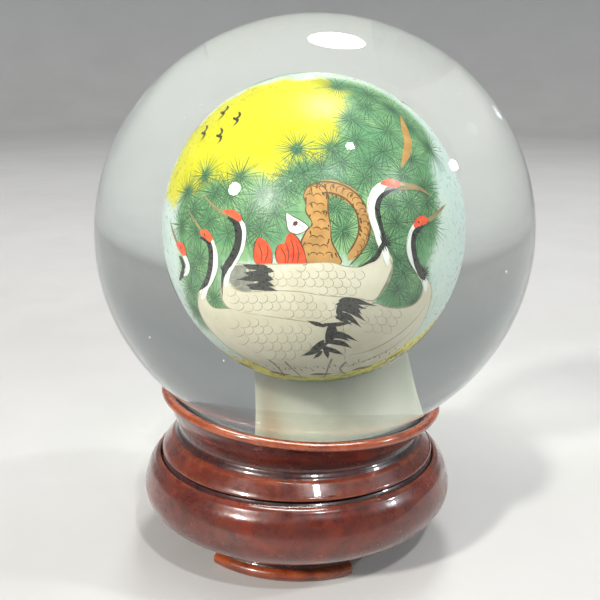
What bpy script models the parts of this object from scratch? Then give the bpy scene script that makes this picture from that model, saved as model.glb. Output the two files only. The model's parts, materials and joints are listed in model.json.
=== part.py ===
"""An inside-painted crystal ball on a turned, lacquered wooden stand.

The ball is a slightly flattened solid of glass with a round cavity at its centre, reached by a neck bored up
from below. Two coats line the cavity: the painted scene against the glass, and a white backing behind it
that runs on down the neck. A plug is glued into the neck's mouth. The ball sits on a felt ring in a cup
whose rim is cut out of level, so the ball stands a little to the right of the base. The cup's spigot is glued
into the base, which stands on three pegged feet.

Frame: metres, +Z up, origin on the floor under the centre of the ball, front towards -Y. The ball turns and
lifts off along the axis of its seat, which leans to the right.
"""

import math

import bmesh
import bpy
from mathutils import Matrix, Vector

MM = 0.001

# Clearance kept between pieces that touch on the real object.
GAP = 0.3 * MM

# Glass ball. Its polar axis is the neck's axis.
GLOBE_R = 40.0 * MM
GLOBE_POLAR_R = 0.965 * GLOBE_R
# How the ball lies in its seat: the foot of its neck points to the right and to the back of straight down.
NECK_RIGHT = math.radians(8.0)
NECK_BACK = math.radians(20.0)
CAVITY_R = 18.7 * MM
NECK_R = 9.0 * MM
MOUTH_CHAMFER = 0.6 * MM

# Coats inside the ball.
COAT = 0.4 * MM
PAINTING_MOUTH_MARGIN = 0.9 * MM

# Plug.
PLUG_LENGTH = 6.0 * MM
PLUG_LEAD = 0.8 * MM
PLUG_RECESS = 0.6 * MM
PLUG_DISH = 0.8 * MM

# Seat: where the ball rests, as the radius of the circle of contact.
SEAT_R = 21.8 * MM
RING_WIDTH = 2.5 * MM
RING_INNER_THICK = 1.2 * MM
RING_TOP_LAND = 1.3 * MM

# Lean of the cup's rim and seat to the right of the base's axis.
SEAT_LEAN = math.radians(4.0)

# Stand heights, from the floor.
FOOT_HEIGHT = 4.6 * MM
BASE_TOP_Z = 17.6 * MM
CUP_HEIGHT = 11.3 * MM
RIM_ABOVE_RING = 2.0 * MM

# Stand radii.
WELL_R = 19.0 * MM
BORE_R = 15.0 * MM
RIM_R = 26.9 * MM
RIM_MOUTH_R = 25.3 * MM
RIM_BEAD_R = 0.85 * MM
WAIST_R = 23.1 * MM
BAND_TOP_R = 24.0 * MM
BAND_HEIGHT = 3.0 * MM
FLARE_R = 26.3 * MM
SPIGOT_WALL = 2.4 * MM
SPIGOT_LENGTH = 3.0 * MM
QUIRK = 0.5 * MM
SHOULDER_R = 27.7 * MM
SHOULDER_DROP = 0.8 * MM
BULGE_R = 29.9 * MM
BULGE_Z = 11.0 * MM
BULGE_FOOT_R = 24.6 * MM

# Feet.
FOOT_COUNT = 3
FOOT_FRONT_AZIMUTH = math.radians(-8.0)
FOOT_SPAN = math.radians(71.0)
FOOT_R = 22.4 * MM
FOOT_NECK_R = 20.9 * MM
FOOT_INNER_R = 17.6 * MM
FOOT_BEAD_R = 1.1 * MM
FOOT_END_ROUND = 0.35 * MM
PEG_R = 1.5 * MM
PEG_LENGTH = 3.0 * MM
FOOT_NAMES = ("foot_front", "foot_right", "foot_left")

# Fineness of the turned shapes.
GLOBE_STEPS = 36
STAND_STEPS = 48
FOOT_STEPS = 8
OUTER_SEGMENTS = 20
COAT_SEGMENTS = 12

RING_OUTER_R = SEAT_R + 0.5 * RING_WIDTH + 0.5 * MM
RING_INNER_R = RING_OUTER_R - RING_WIDTH
RIM_INNER_R = RING_OUTER_R + GAP
CUP_BOTTOM_Z = BASE_TOP_Z + GAP
RIM_Z = CUP_BOTTOM_Z + CUP_HEIGHT
RING_TOP_Z = RIM_Z - RIM_ABOVE_RING


def oblate(radius, equator, polar):
    """Height above the centre of an oblate meridian at a distance from its axis."""
    return polar * math.sqrt(1.0 - (radius / equator) ** 2)


# A flattened ball that lies askew reaches lower on one side, so its seat is cut to clear it all round.
ASKEW = math.hypot(NECK_RIGHT + SEAT_LEAN, NECK_BACK)
SEAT_GAP = GAP + (GLOBE_R - GLOBE_POLAR_R) * math.sin(ASKEW)
LAND_INNER_R = RING_OUTER_R - RING_TOP_LAND
GLOBE_Z = RING_TOP_Z + SEAT_GAP + oblate(LAND_INNER_R, GLOBE_R, GLOBE_POLAR_R)
RING_INNER_TOP_Z = GLOBE_Z - SEAT_GAP - oblate(RING_INNER_R, GLOBE_R, GLOBE_POLAR_R)
LEDGE_Z = RING_INNER_TOP_Z - RING_INNER_THICK - GAP
SPIGOT_R = WELL_R + SPIGOT_WALL

# The seat leans about the centre of the cup's foot. The base stands to the left by what that moves the ball.
LEAN_PIVOT_Z = CUP_BOTTOM_Z
STAND_X = -(GLOBE_Z - LEAN_PIVOT_Z) * math.sin(SEAT_LEAN)


def new_collection(name):
    made = bpy.data.collections.new(name)
    bpy.context.scene.collection.children.link(made)
    return made


def material(name, colour, roughness, metallic=0.0, transmission=0.0):
    made = bpy.data.materials.new(name)
    made.use_nodes = True
    shader = made.node_tree.nodes["Principled BSDF"]
    shader.inputs["Base Color"].default_value = (*colour, 1.0)
    shader.inputs["Roughness"].default_value = roughness
    shader.inputs["Metallic"].default_value = metallic
    shader.inputs["Transmission Weight"].default_value = transmission
    return made


def arc(centre, radius, start, end, segments):
    """Points on an arc in the profile plane, angles in degrees from +X (outwards) towards +Z (up)."""
    points = []
    for i in range(segments + 1):
        angle = math.radians(start + (end - start) * i / segments)
        points.append((centre[0] + radius * math.cos(angle), centre[1] + radius * math.sin(angle)))
    return points


def smooth_through(knots, per_span):
    """Catmull-Rom points through the knots of a moulding, ends included."""
    ends = [tuple(2 * a - b for a, b in zip(knots[0], knots[1]))]
    tail = [tuple(2 * a - b for a, b in zip(knots[-1], knots[-2]))]
    spread = ends + list(knots) + tail
    points = []
    for p0, p1, p2, p3 in zip(spread, spread[1:], spread[2:], spread[3:]):
        for i in range(per_span):
            t = i / per_span
            points.append(tuple(
                0.5 * (2 * b + (c - a) * t + (2 * a - 5 * b + 4 * c - d) * t * t
                       + (3 * b - a - 3 * c + d) * t ** 3)
                for a, b, c, d in zip(p0, p1, p2, p3)
            ))
    return points + [knots[-1]]


def finish(obj, collection, paint, smooth_degrees=35.0):
    obj.data.materials.append(paint)
    collection.objects.link(obj)
    obj.data.shade_smooth()
    obj.data.set_sharp_from_angle(angle=math.radians(smooth_degrees))
    return obj


def turned(name, profile, steps, closed, collection, paint):
    """A body of revolution about Z. The profile runs down its outer side; a closed one makes a ring."""
    mesh = bpy.data.meshes.new(name)
    count = len(profile)
    edges = [(i, i + 1) for i in range(count - 1)]
    if closed:
        edges.append((count - 1, 0))
    mesh.from_pydata([(x, 0.0, z) for x, z in profile], edges, [])
    obj = bpy.data.objects.new(name, mesh)
    screw = obj.modifiers.new("turn", "SCREW")
    screw.steps = steps
    screw.render_steps = steps
    screw.use_merge_vertices = True
    screw.merge_threshold = 0.00001
    return finish(obj, collection, paint)


def lathe_leaning(name, profile, steps, collection, paint):
    """A ring turned about Z whose upper parts lean. A profile point is (radius, height, share of the lean)."""
    mesh = bpy.data.meshes.new(name)
    shape = bmesh.new()
    pivot = Vector((0.0, 0.0, LEAN_PIVOT_Z))
    rings = []
    for i in range(steps):
        turn = Matrix.Rotation(2 * math.pi * i / steps, 3, "Z")
        ring = []
        for radius, height, share in profile:
            lean = Matrix.Rotation(SEAT_LEAN * share, 3, "Y")
            ring.append(shape.verts.new(pivot + lean @ (turn @ Vector((radius, 0.0, height)) - pivot)))
        rings.append(ring)
    for ring, following in zip(rings, rings[1:] + rings[:1]):
        for i in range(len(profile)):
            shape.faces.new((ring[i - 1], ring[i], following[i], following[i - 1]))
    bmesh.ops.recalc_face_normals(shape, faces=shape.faces)
    shape.to_mesh(mesh)
    shape.free()
    return finish(bpy.data.objects.new(name, mesh), collection, paint)


def cylinder(name, radius, low, high, steps, collection):
    mesh = bpy.data.meshes.new(name)
    shape = bmesh.new()
    middle = Matrix.Translation((0.0, 0.0, 0.5 * (low + high)))
    bmesh.ops.create_cone(
        shape,
        cap_ends=True,
        segments=steps,
        radius1=radius,
        radius2=radius,
        depth=high - low,
        matrix=middle,
    )
    shape.to_mesh(mesh)
    shape.free()
    obj = bpy.data.objects.new(name, mesh)
    collection.objects.link(obj)
    return obj


def as_cutter(obj):
    obj.hide_render = True
    obj.display_type = "WIRE"
    return obj


def boolean(obj, other, operation):
    modifier = obj.modifiers.new(operation.lower(), "BOOLEAN")
    modifier.operation = operation
    modifier.object = other
    modifier.solver = "EXACT"


def make_globe(collection, paint):
    """Glass ball with its cavity and neck, turned about its own polar axis."""
    mouth_r = NECK_R + MOUTH_CHAMFER
    outer = []
    last = math.asin(mouth_r / GLOBE_R)
    for i in range(OUTER_SEGMENTS + 1):
        angle = math.pi / 2 - (math.pi - last) * i / OUTER_SEGMENTS
        outer.append((GLOBE_R * math.cos(angle), GLOBE_POLAR_R * math.sin(angle)))
    mouth_z = -oblate(mouth_r, GLOBE_R, GLOBE_POLAR_R)
    junction = math.degrees(math.asin(NECK_R / CAVITY_R))
    cavity = arc((0.0, 0.0), CAVITY_R, -90.0 + junction, 90.0, COAT_SEGMENTS)
    profile = [(0.0, outer[0][1])] + outer[1:] + [(NECK_R, mouth_z + MOUTH_CHAMFER)] + cavity
    profile[-1] = (0.0, CAVITY_R)
    return turned("crystal_globe", profile, GLOBE_STEPS, False, collection, paint)


def make_painting(collection, paint):
    """The painted coat on the cavity's wall, stopping short of the neck."""
    outer_r = CAVITY_R - GAP
    inner_r = outer_r - COAT
    stop = math.degrees(math.asin((NECK_R + PAINTING_MOUTH_MARGIN) / outer_r)) - 90.0
    outside = arc((0.0, 0.0), outer_r, 90.0, stop, COAT_SEGMENTS)
    inside = arc((0.0, 0.0), inner_r, stop, 90.0, COAT_SEGMENTS)
    outside[0] = (0.0, outer_r)
    inside[-1] = (0.0, inner_r)
    return turned("scene_painting", outside + inside, GLOBE_STEPS, False, collection, paint)


def make_backing(collection, paint):
    """The white coat behind the painting, which runs on down the neck to the plug."""
    outer_r = CAVITY_R - 2 * GAP - COAT
    inner_r = outer_r - COAT
    tube_r = NECK_R - GAP
    tube_inner_r = tube_r - COAT
    foot_z = PLUG_RECESS - oblate(NECK_R, GLOBE_R, GLOBE_POLAR_R) + PLUG_LENGTH + GAP
    outer_stop = math.degrees(math.asin(tube_r / outer_r)) - 90.0
    inner_stop = math.degrees(math.asin(tube_inner_r / inner_r)) - 90.0
    outside = arc((0.0, 0.0), outer_r, 90.0, outer_stop, COAT_SEGMENTS)
    inside = arc((0.0, 0.0), inner_r, inner_stop, 90.0, COAT_SEGMENTS)
    outside[0] = (0.0, outer_r)
    inside[-1] = (0.0, inner_r)
    profile = outside + [(tube_r, foot_z), (tube_inner_r, foot_z)] + inside
    return turned("white_backing", profile, GLOBE_STEPS, False, collection, paint)


def make_plug(collection, paint):
    """Plug with a lead-in taper and a dished face, set just inside the neck's mouth."""
    body_r = NECK_R - GAP
    low = PLUG_RECESS - oblate(NECK_R, GLOBE_R, GLOBE_POLAR_R)
    high = low + PLUG_LENGTH
    profile = [
        (0.0, high),
        (body_r - PLUG_LEAD, high),
        (body_r, high - 2 * PLUG_LEAD),
        (body_r, low + 0.3 * MM),
        (body_r - 0.3 * MM, low),
        (0.75 * body_r, low),
        (0.6 * body_r, low + PLUG_DISH),
        (0.0, low + PLUG_DISH),
    ]
    return turned("neck_plug", profile, GLOBE_STEPS, False, collection, paint)


def make_seat_ring(collection, paint):
    """Felt ring: flat below, and dressed on its inner top edge to the ball."""
    low = LEDGE_Z + GAP - LEAN_PIVOT_Z
    top = RING_TOP_Z - LEAN_PIVOT_Z
    inner_top = RING_INNER_TOP_Z - LEAN_PIVOT_Z
    middle_r = 0.5 * (RING_INNER_R + LAND_INNER_R)
    middle_top = GLOBE_Z - SEAT_GAP - LEAN_PIVOT_Z - oblate(middle_r, GLOBE_R, GLOBE_POLAR_R)
    profile = [
        (RING_OUTER_R, top - 0.25 * MM),
        (RING_OUTER_R, low),
        (RING_INNER_R, low),
        (RING_INNER_R, inner_top),
        (middle_r, middle_top),
        (LAND_INNER_R, top),
        (RING_OUTER_R - 0.25 * MM, top),
    ]
    return turned("seat_ring", profile, STAND_STEPS, True, collection, paint)


def make_cup(collection, paint):
    """Upper turning: rim bead, hollow waist and flare outside; ledge, bowl, well and spigot inside.

    The rim and the seat take the whole lean, the flare and the spigot take none, and the waist passes from
    one to the other.
    """
    bead = arc((RIM_R - RIM_BEAD_R, RIM_Z - RIM_BEAD_R), RIM_BEAD_R, 100, -60, 6)
    under_bead = RIM_Z - 2.1 * RIM_BEAD_R
    band_top = CUP_BOTTOM_Z + BAND_HEIGHT
    waist = smooth_through(
        [
            (RIM_R - 1.1 * RIM_BEAD_R, under_bead),
            (0.6 * WAIST_R + 0.4 * RIM_R, 0.65 * under_bead + 0.35 * band_top),
            (WAIST_R, 0.25 * under_bead + 0.75 * band_top),
            (BAND_TOP_R - 0.3 * MM, band_top + 0.35 * MM),
        ],
        4,
    )
    waist += [(BAND_TOP_R, band_top)]
    waist += [(FLARE_R - 0.3 * MM, CUP_BOTTOM_Z + 0.9 * MM)]
    spigot_z = CUP_BOTTOM_Z - SPIGOT_LENGTH
    bowl_z = LEDGE_Z - 2.2 * MM
    level = [
        (FLARE_R, CUP_BOTTOM_Z + 0.4 * MM),
        (FLARE_R - 0.3 * MM, CUP_BOTTOM_Z),
        (SPIGOT_R, CUP_BOTTOM_Z),
        (SPIGOT_R, spigot_z),
        (WELL_R, spigot_z),
    ]
    seat = [
        (WELL_R, bowl_z),
        (RING_INNER_R - 0.6 * MM, LEDGE_Z),
        (RIM_INNER_R, LEDGE_Z),
        (RIM_INNER_R, RING_TOP_Z),
        (RIM_MOUTH_R, RIM_Z - 0.3 * MM),
    ]
    profile = [(x, z, 1.0) for x, z in bead]
    profile += [(x, z, (z - CUP_BOTTOM_Z) / (under_bead - CUP_BOTTOM_Z)) for x, z in waist]
    profile += [(x, z, 0.0) for x, z in level]
    profile += [(x, z, 1.0) for x, z in seat]
    return lathe_leaning("stand_cup", profile, STAND_STEPS, collection, paint)


def make_base(collection, cutters, paint, stand_axis):
    """Lower turning: shoulder and full bulge outside, socket and bore inside, peg holes underneath."""
    underside_z = FOOT_HEIGHT + GAP
    shoulder_z = BASE_TOP_Z - SHOULDER_DROP
    bulge = smooth_through(
        [
            (SHOULDER_R, shoulder_z),
            (BULGE_R - 0.9 * MM, 0.65 * shoulder_z + 0.35 * BULGE_Z),
            (BULGE_R, BULGE_Z),
            (BULGE_R - 1.25 * MM, 0.5 * (BULGE_Z + underside_z)),
            (BULGE_FOOT_R, underside_z),
        ],
        4,
    )
    socket_r = SPIGOT_R + GAP
    socket_z = CUP_BOTTOM_Z - SPIGOT_LENGTH - GAP
    profile = [
        (FLARE_R - QUIRK, BASE_TOP_Z),
        (FLARE_R, BASE_TOP_Z - QUIRK),
        (FLARE_R + QUIRK, BASE_TOP_Z - 0.2 * MM),
    ]
    profile += bulge
    profile += [
        (BORE_R, underside_z),
        (BORE_R, socket_z),
        (socket_r, socket_z),
        (socket_r, BASE_TOP_Z),
    ]
    base = turned("stand_base", profile, STAND_STEPS, True, collection, paint)
    hole_low = FOOT_HEIGHT - GAP
    hole_high = FOOT_HEIGHT + PEG_LENGTH + GAP
    for index, angle in enumerate(foot_azimuths()):
        hole = cylinder(f"peg_hole_{index + 1}", PEG_R + GAP, hole_low, hole_high, 12, cutters)
        hole.location = peg_place(angle)
        hole.parent = stand_axis
        boolean(base, as_cutter(hole), "DIFFERENCE")
    return base


def foot_azimuths():
    """Azimuth of each foot, from the front (-Y) towards the right (+X)."""
    return [FOOT_FRONT_AZIMUTH + 2 * math.pi * i / FOOT_COUNT for i in range(FOOT_COUNT)]


def peg_place(azimuth):
    middle_r = 0.5 * (FOOT_INNER_R + FOOT_NECK_R)
    return Vector((middle_r * math.sin(azimuth), -middle_r * math.cos(azimuth), 0.0))


def foot_mesh():
    """One bracket foot: a turned section swept through its span about Z, centred on the front."""
    bead_z = FOOT_BEAD_R
    section = arc((FOOT_R - FOOT_BEAD_R, bead_z), FOOT_BEAD_R, -90, 80, 6)
    section += smooth_through(
        [
            (FOOT_R - 1.0 * FOOT_BEAD_R, 2.15 * FOOT_BEAD_R),
            (FOOT_NECK_R, 0.5 * (2.15 * FOOT_BEAD_R + FOOT_HEIGHT)),
            (FOOT_NECK_R + 0.9 * MM, FOOT_HEIGHT),
        ],
        2,
    )
    section += [(FOOT_INNER_R, FOOT_HEIGHT), (FOOT_INNER_R, 0.0)]
    shape = bmesh.new()
    start = Matrix.Rotation(-math.pi / 2 - 0.5 * FOOT_SPAN, 3, "Z")
    face = shape.faces.new([shape.verts.new(start @ Vector((x, 0.0, z))) for x, z in section])
    bmesh.ops.spin(
        shape,
        geom=[face, *face.edges, *face.verts],
        cent=(0.0, 0.0, 0.0),
        axis=(0.0, 0.0, 1.0),
        angle=FOOT_SPAN,
        steps=FOOT_STEPS,
        use_duplicate=False,
    )
    bmesh.ops.recalc_face_normals(shape, faces=shape.faces)
    mesh = bpy.data.meshes.new("foot")
    shape.to_mesh(mesh)
    shape.free()
    return mesh


def make_feet(collection, cutters, paint, stand_axis):
    mesh = foot_mesh()
    mesh.materials.append(paint)
    mesh.shade_smooth()
    mesh.set_sharp_from_angle(angle=math.radians(40.0))
    peg = cylinder("peg", PEG_R, FOOT_HEIGHT - 1.5 * MM, FOOT_HEIGHT + PEG_LENGTH, 12, cutters)
    peg.location = peg_place(0.0)
    as_cutter(peg)
    feet = []
    for name, azimuth in zip(FOOT_NAMES, foot_azimuths()):
        foot = bpy.data.objects.new(name, mesh)
        collection.objects.link(foot)
        foot.rotation_euler.z = azimuth
        rounding = foot.modifiers.new("rounded_ends", "BEVEL")
        rounding.width = FOOT_END_ROUND
        rounding.segments = 1
        rounding.limit_method = "ANGLE"
        rounding.angle_limit = math.radians(60.0)
        own_peg = bpy.data.objects.new(f"{name}_peg", peg.data)
        cutters.objects.link(own_peg)
        own_peg.rotation_euler.z = azimuth
        own_peg.location = peg_place(azimuth)
        own_peg.parent = stand_axis
        boolean(foot, as_cutter(own_peg), "UNION")
        feet.append(foot)
    bpy.data.objects.remove(peg)
    return feet


def axis_empty(name, collection, location, lean, parent):
    """An empty that carries the axis of a piece, turned about X and then about Y."""
    empty = bpy.data.objects.new(name, None)
    collection.objects.link(empty)
    empty.location = location
    empty.rotation_euler = (*lean, 0.0)
    empty.parent = parent
    return empty


def main():
    for obj in list(bpy.data.objects):
        bpy.data.objects.remove(obj)
    parts = new_collection("crystal_ball")
    cutters = new_collection("cutters")

    glass = material("clear_glass", (0.93, 0.97, 0.94), 0.02, transmission=1.0)
    scene_paint = material("scene_paint", (0.62, 0.66, 0.35), 0.45)
    white_paint = material("white_paint", (0.86, 0.86, 0.80), 0.60)
    plug_plastic = material("plug_plastic", (0.85, 0.84, 0.80), 0.45)
    felt = material("felt", (0.05, 0.045, 0.045), 0.95)
    lacquer = material("lacquered_wood", (0.22, 0.035, 0.018), 0.16)

    stand_axis = axis_empty("stand_axis", parts, (STAND_X, 0.0, 0.0), (0.0, 0.0), None)
    seat_axis = axis_empty("seat_axis", parts, (0.0, 0.0, LEAN_PIVOT_Z), (0.0, SEAT_LEAN), stand_axis)
    globe_centre = (0.0, 0.0, GLOBE_Z - LEAN_PIVOT_Z)
    globe_lie = (NECK_BACK, -SEAT_LEAN - NECK_RIGHT)
    neck_axis = axis_empty("neck_axis", parts, globe_centre, globe_lie, seat_axis)

    for piece in (
        make_globe(parts, glass),
        make_painting(parts, scene_paint),
        make_backing(parts, white_paint),
        make_plug(parts, plug_plastic),
    ):
        piece.parent = neck_axis

    make_seat_ring(parts, felt).parent = seat_axis
    make_cup(parts, lacquer).parent = stand_axis
    make_base(parts, cutters, lacquer, stand_axis).parent = stand_axis
    for foot in make_feet(parts, cutters, lacquer, stand_axis):
        foot.parent = stand_axis


main()
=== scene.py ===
"""Looks of the inside-painted glass ball on its turned, lacquered stand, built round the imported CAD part."""

import json
import math

import bpy
import numpy as np
from mathutils import Matrix, Vector
from mathutils.geometry import delaunay_2d_cdt


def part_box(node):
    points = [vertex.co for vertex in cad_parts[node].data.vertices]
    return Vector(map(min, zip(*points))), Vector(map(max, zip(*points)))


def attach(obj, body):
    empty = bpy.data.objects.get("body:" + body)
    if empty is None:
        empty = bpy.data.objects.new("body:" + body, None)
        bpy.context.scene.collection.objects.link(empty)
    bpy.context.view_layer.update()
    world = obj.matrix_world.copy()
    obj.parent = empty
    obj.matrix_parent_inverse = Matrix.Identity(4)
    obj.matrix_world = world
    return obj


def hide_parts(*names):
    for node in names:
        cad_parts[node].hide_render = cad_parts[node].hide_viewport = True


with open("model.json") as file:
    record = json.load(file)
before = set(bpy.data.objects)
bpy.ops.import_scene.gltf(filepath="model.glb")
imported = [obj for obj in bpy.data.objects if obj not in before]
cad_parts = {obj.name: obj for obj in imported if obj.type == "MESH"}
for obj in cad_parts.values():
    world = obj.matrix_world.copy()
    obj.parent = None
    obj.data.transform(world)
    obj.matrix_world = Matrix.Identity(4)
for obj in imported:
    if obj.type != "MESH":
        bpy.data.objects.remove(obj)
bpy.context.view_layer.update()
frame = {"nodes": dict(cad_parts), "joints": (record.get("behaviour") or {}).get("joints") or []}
RNG = np.random.default_rng(7)
MM = 0.001

# ---------------------------------------------------------------- sizes, as in the CAD part
GLOBE_R = 40.0 * MM
GLOBE_POLAR_R = 0.965 * GLOBE_R
CAVITY_R = 18.7 * MM
NECK_R = 9.0 * MM
MOUTH_CHAMFER = 0.6 * MM
PLUG_LENGTH = 6.0 * MM
PLUG_RECESS = 0.6 * MM
SEAT_LEAN = math.radians(4.0)
GAP = 0.3 * MM

STAND_LOW, STAND_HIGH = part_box("stand_base")
STAND_X = 0.5 * (STAND_LOW.x + STAND_HIGH.x)
JOINT = {j["name"]: j for j in frame["joints"]}
CENTRE = Vector(JOINT["globe_turn"]["pos_m"])


def mean_of(node):
    co = np.array([v.co for v in frame["nodes"][node].data.vertices], float)
    return Vector(co.mean(0))


# The neck's foot points down, to the right and to the back.
NECK_UP = (CENTRE - mean_of("neck_plug")).normalized()
NECK_FRONT = (Vector((0, -1, 0)) - NECK_UP * NECK_UP.dot(Vector((0, -1, 0)))).normalized()
NECK_RIGHT = NECK_UP.cross(NECK_FRONT)
NECK_FRAME = Matrix((NECK_RIGHT, -NECK_FRONT, NECK_UP)).transposed()

# The point of the cavity that faces the viewer. The picture is laid out round it.
PICTURE_FRONT = Vector((0.0, -0.98, 0.20)).normalized()
PICTURE_RIGHT = Vector((1.0, 0.0, 0.0))
PICTURE_UP = PICTURE_FRONT.cross(PICTURE_RIGHT).normalized()
if PICTURE_UP.z < 0:
    PICTURE_UP.negate()

# ---------------------------------------------------------------- the picture, in degrees right and up
# of the point that faces the viewer, measured along the cavity's wall
BODY_A = [
    (-38.5, -17), (-33.5, -16), (-27, -16), (-19, -15.5), (-6.5, -15), (6, -14.5), (12.5, -16),
    (18, -16.5), (22.5, -15), (26, -13), (28, -9.5), (29, -7), (31.5, -10.5), (33.5, -14.5), (32, -21),
    (29.5, -26.5), (26, -31.5), (19.5, -30.5), (13, -29.5), (3, -28.5), (-6.5, -27), (-17.5, -27),
    (-32, -28.5), (-37, -27), (-39, -23),
]
BODY_C = [
    (-40.5, -19.5), (-43, -26), (-43.5, -34), (-40, -38), (-31.5, -39), (-20, -39.5), (-8.5, -40.5),
    (1.5, -41.5), (11, -39), (18, -36.5), (26, -32.5), (19.5, -30.5), (13, -29.5), (3, -28.5), (-6.5, -27),
    (-17.5, -27), (-32, -28.5), (-37, -26), (-39, -22),
]
BODY_D = [
    (-55, -29), (-59.5, -35.5), (-60.5, -43), (-58.5, -50.5), (-55, -57), (-48.5, -63.5), (-40.5, -68.5),
    (-32, -73.5), (-21, -79), (-7.5, -80.5), (5, -80), (14.5, -77.5), (15, -58.5), (11, -39), (1.5, -41.5),
    (-8.5, -40.5), (-20, -39.5), (-31.5, -39), (-40, -38), (-49, -39), (-52.5, -36), (-53, -31.5),
]
BODY_B = [
    (51.5, -22.5), (51.5, -27.5), (51.5, -32.5), (48, -36), (41.5, -37), (32.5, -35.5), (26.5, -33),
    (18, -36.5), (11, -39), (14.5, -55), (9.5, -72.5), (17.5, -77), (27, -75), (37, -71.5), (46.5, -65),
    (54.5, -56), (58, -46), (59, -36.5), (57.5, -28.5),
]
NECK_A = [
    (33, 19), (28.5, 17), (25, 14), (23, 9), (23.5, 4), (25.5, -1.5), (27, -6), (29.5, -10.5), (31.5, -16),
]
NECK_B = [
    (47.5, 1.5), (44.5, 0.5), (42, -4), (41.5, -9.5), (43.5, -14.5), (47.5, -19.5), (52, -24.5), (54, -30),
]
NECK_C = [
    (-35, 3.5), (-32, 1), (-31, -3), (-32, -8.5), (-34, -12.5), (-37, -17), (-39.5, -21), (-40.5, -27),
]
NECK_D = [(-50, -4), (-47, -7), (-45.5, -11.5), (-45.5, -17), (-48, -23), (-52.5, -28.5), (-56.5, -35.5)]
NECK_E = [(-66.5, -13.5), (-64, -16.5), (-63.5, -20.5), (-67.5, -25)]
DARK_A = [
    (35, 16.5), (31, 15), (27.5, 12.5), (26, 8.5), (26.5, 4.5), (28, -0.5), (29, -5), (27.5, -9),
    (25.5, -12.5), (22, -14.5), (18, -16.5),
]
DARK_B = [(49.5, 1), (45, -1.5), (43.5, -6), (44.5, -11.5), (46.5, -16.5), (50, -21), (52, -24)]
DARK_C = [
    (-38.5, 3.5), (-34.5, 2), (-33, -1.5), (-33, -6), (-34.5, -10.5), (-37, -14.5), (-40, -18.5),
    (-42, -24), (-43, -32.5),
]
DARK_D = [(-54, -5), (-49.5, -6), (-47.5, -9.5), (-47.5, -15), (-49, -21), (-52, -26.5), (-57, -31)]
DARK_E = [(-69.5, -14.5), (-67.5, -17.5), (-67.5, -22), (-73, -28.5)]
CROWN_A = [(27.5, 18.5), (30, 20.5), (33, 21), (36.5, 20), (37.5, 18.5), (34.5, 17), (30.5, 17.5)]
CROWN_B = [(43.5, 1.5), (45.5, 4.5), (49, 5.5), (52, 4), (50.5, 2), (47, 1), (44.5, 0)]
CROWN_C = [(-40.5, 6.5), (-37.5, 7.5), (-34, 6.5), (-31.5, 4), (-32, 2), (-34.5, 3), (-37, 4.5)]
CROWN_D = [(-53.5, -2.5), (-50.5, -1), (-48, -2.5), (-46, -5), (-47.5, -7), (-50, -5.5), (-52.5, -4)]
CROWN_E = [(-71.5, -8.5), (-67.5, -7.5), (-64.5, -9.5), (-63.5, -13), (-66, -14.5), (-69, -12)]
BEAK_A = [(37, 19), (45, 18.5), (50, 17), (54.5, 14.5)]
BEAK_A2 = [(36.5, 16.5), (43, 17.5), (49, 17), (54.5, 14.5)]
BEAK_B = [(52, 3.5), (58, 7), (65, 12)]
BEAK_C = [(-39, 5), (-45.5, 9), (-53, 15.5)]
BEAK_D = [(-52.5, -2), (-56.5, 2.5), (-62, 8.5)]
BEAK_E = [(-70.5, -8.5), (-74, -3.5), (-78, 4)]
TRUNK = [
    (-5, 12.5), (-3.5, 16), (-0.5, 17.5), (3.5, 16.5), (5, 12.5), (5, 7), (6, 0.5), (6.5, -5.5),
    (9, -10.5), (10.5, -15), (2, -15.5), (-4, -15), (-5.5, -10.5), (-6, -6.5), (-4, -2), (-1.5, 1.5),
    (-4, 6), (-4, 9.5),
]
LOOP = [(1, 16), (6.5, 16), (12.5, 14), (17.5, 9.5), (20, 3.5), (20, -3), (17.5, -8.5), (13.5, -13.5)]
BRANCH = [(44.5, 57.5), (44.5, 48), (44.5, 40), (42, 33), (38.5, 26.5)]
FLOWER = [(-12, 5.5), (-9, 4), (-6, 2.5), (-3, 0), (-5, -2), (-8, -3), (-11, -1.5), (-12, 2)]
TULIP_1 = [
    (-25.5, -15), (-26, -10), (-25, -6), (-23.5, -4.5), (-20.5, -6), (-18.5, -9), (-18, -12.5),
    (-18.5, -15.5), (-22, -16),
]
TULIP_2 = [
    (-15.5, -15), (-16.5, -10.5), (-15, -7), (-13, -7), (-12, -4), (-10, -2.5), (-7, -5), (-5, -9),
    (-4, -12.5), (-4, -15.5), (-10, -15.5),
]
LEG_1 = [(-23.5, -66.5), (-19.5, -71.5), (-16, -81)]
LEG_2 = [(-15, -66.5), (-11.5, -72), (-6.5, -80.5)]
LEG_3 = [(9, -63), (7.5, -70.5), (6.5, -80)]
LEG_4 = [(16.5, -66), (14, -73), (18.5, -80)]
FANS = [
    (-63, 16.5), (-45.5, 15), (-33, 21.5), (-27.5, 5.5), (-17.5, 11.5), (-5.5, 22), (10.5, 27), (13, 17),
    (7, 33.5), (25, 58), (30.5, 33.5), (39, 23.5), (58.5, 40), (32.5, 9.5), (30, -6), (41.5, 11), (53, 2),
    (37.5, -27.5), (11, -1.5), (-48, 3), (-38, -3), (-54.5, -15.5), (-63, -31), (-48, -34), (-66.5, 0.5),
    (-22.5, -1.5), (-17, 5.5), (20.5, 20.5), (39, 60.5), (16.5, 49), (47.5, 50.5), (51, 18.5), (36, -14),
    (25.5, -9), (-12.5, 16), (-22.5, 13.5), (2.5, 23.5), (-64.5, -45), (-38, 14), (-52, 24), (-8, 33),
    (18, 38), (34, 45), (24, 26), (45, 32), (52, 12), (-30, 0), (-58, 8), (46, -2), (35, 2), (8, 8),
    (-10, 20), (40, -20), (48, -34), (-56, -2), (-60, -20), (28, 68), (12, 72), (-2, 20),
]
BIRDS = [(-25, 56.5), (-16, 63.5), (-7.5, 53), (-17, 45.5)]
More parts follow.
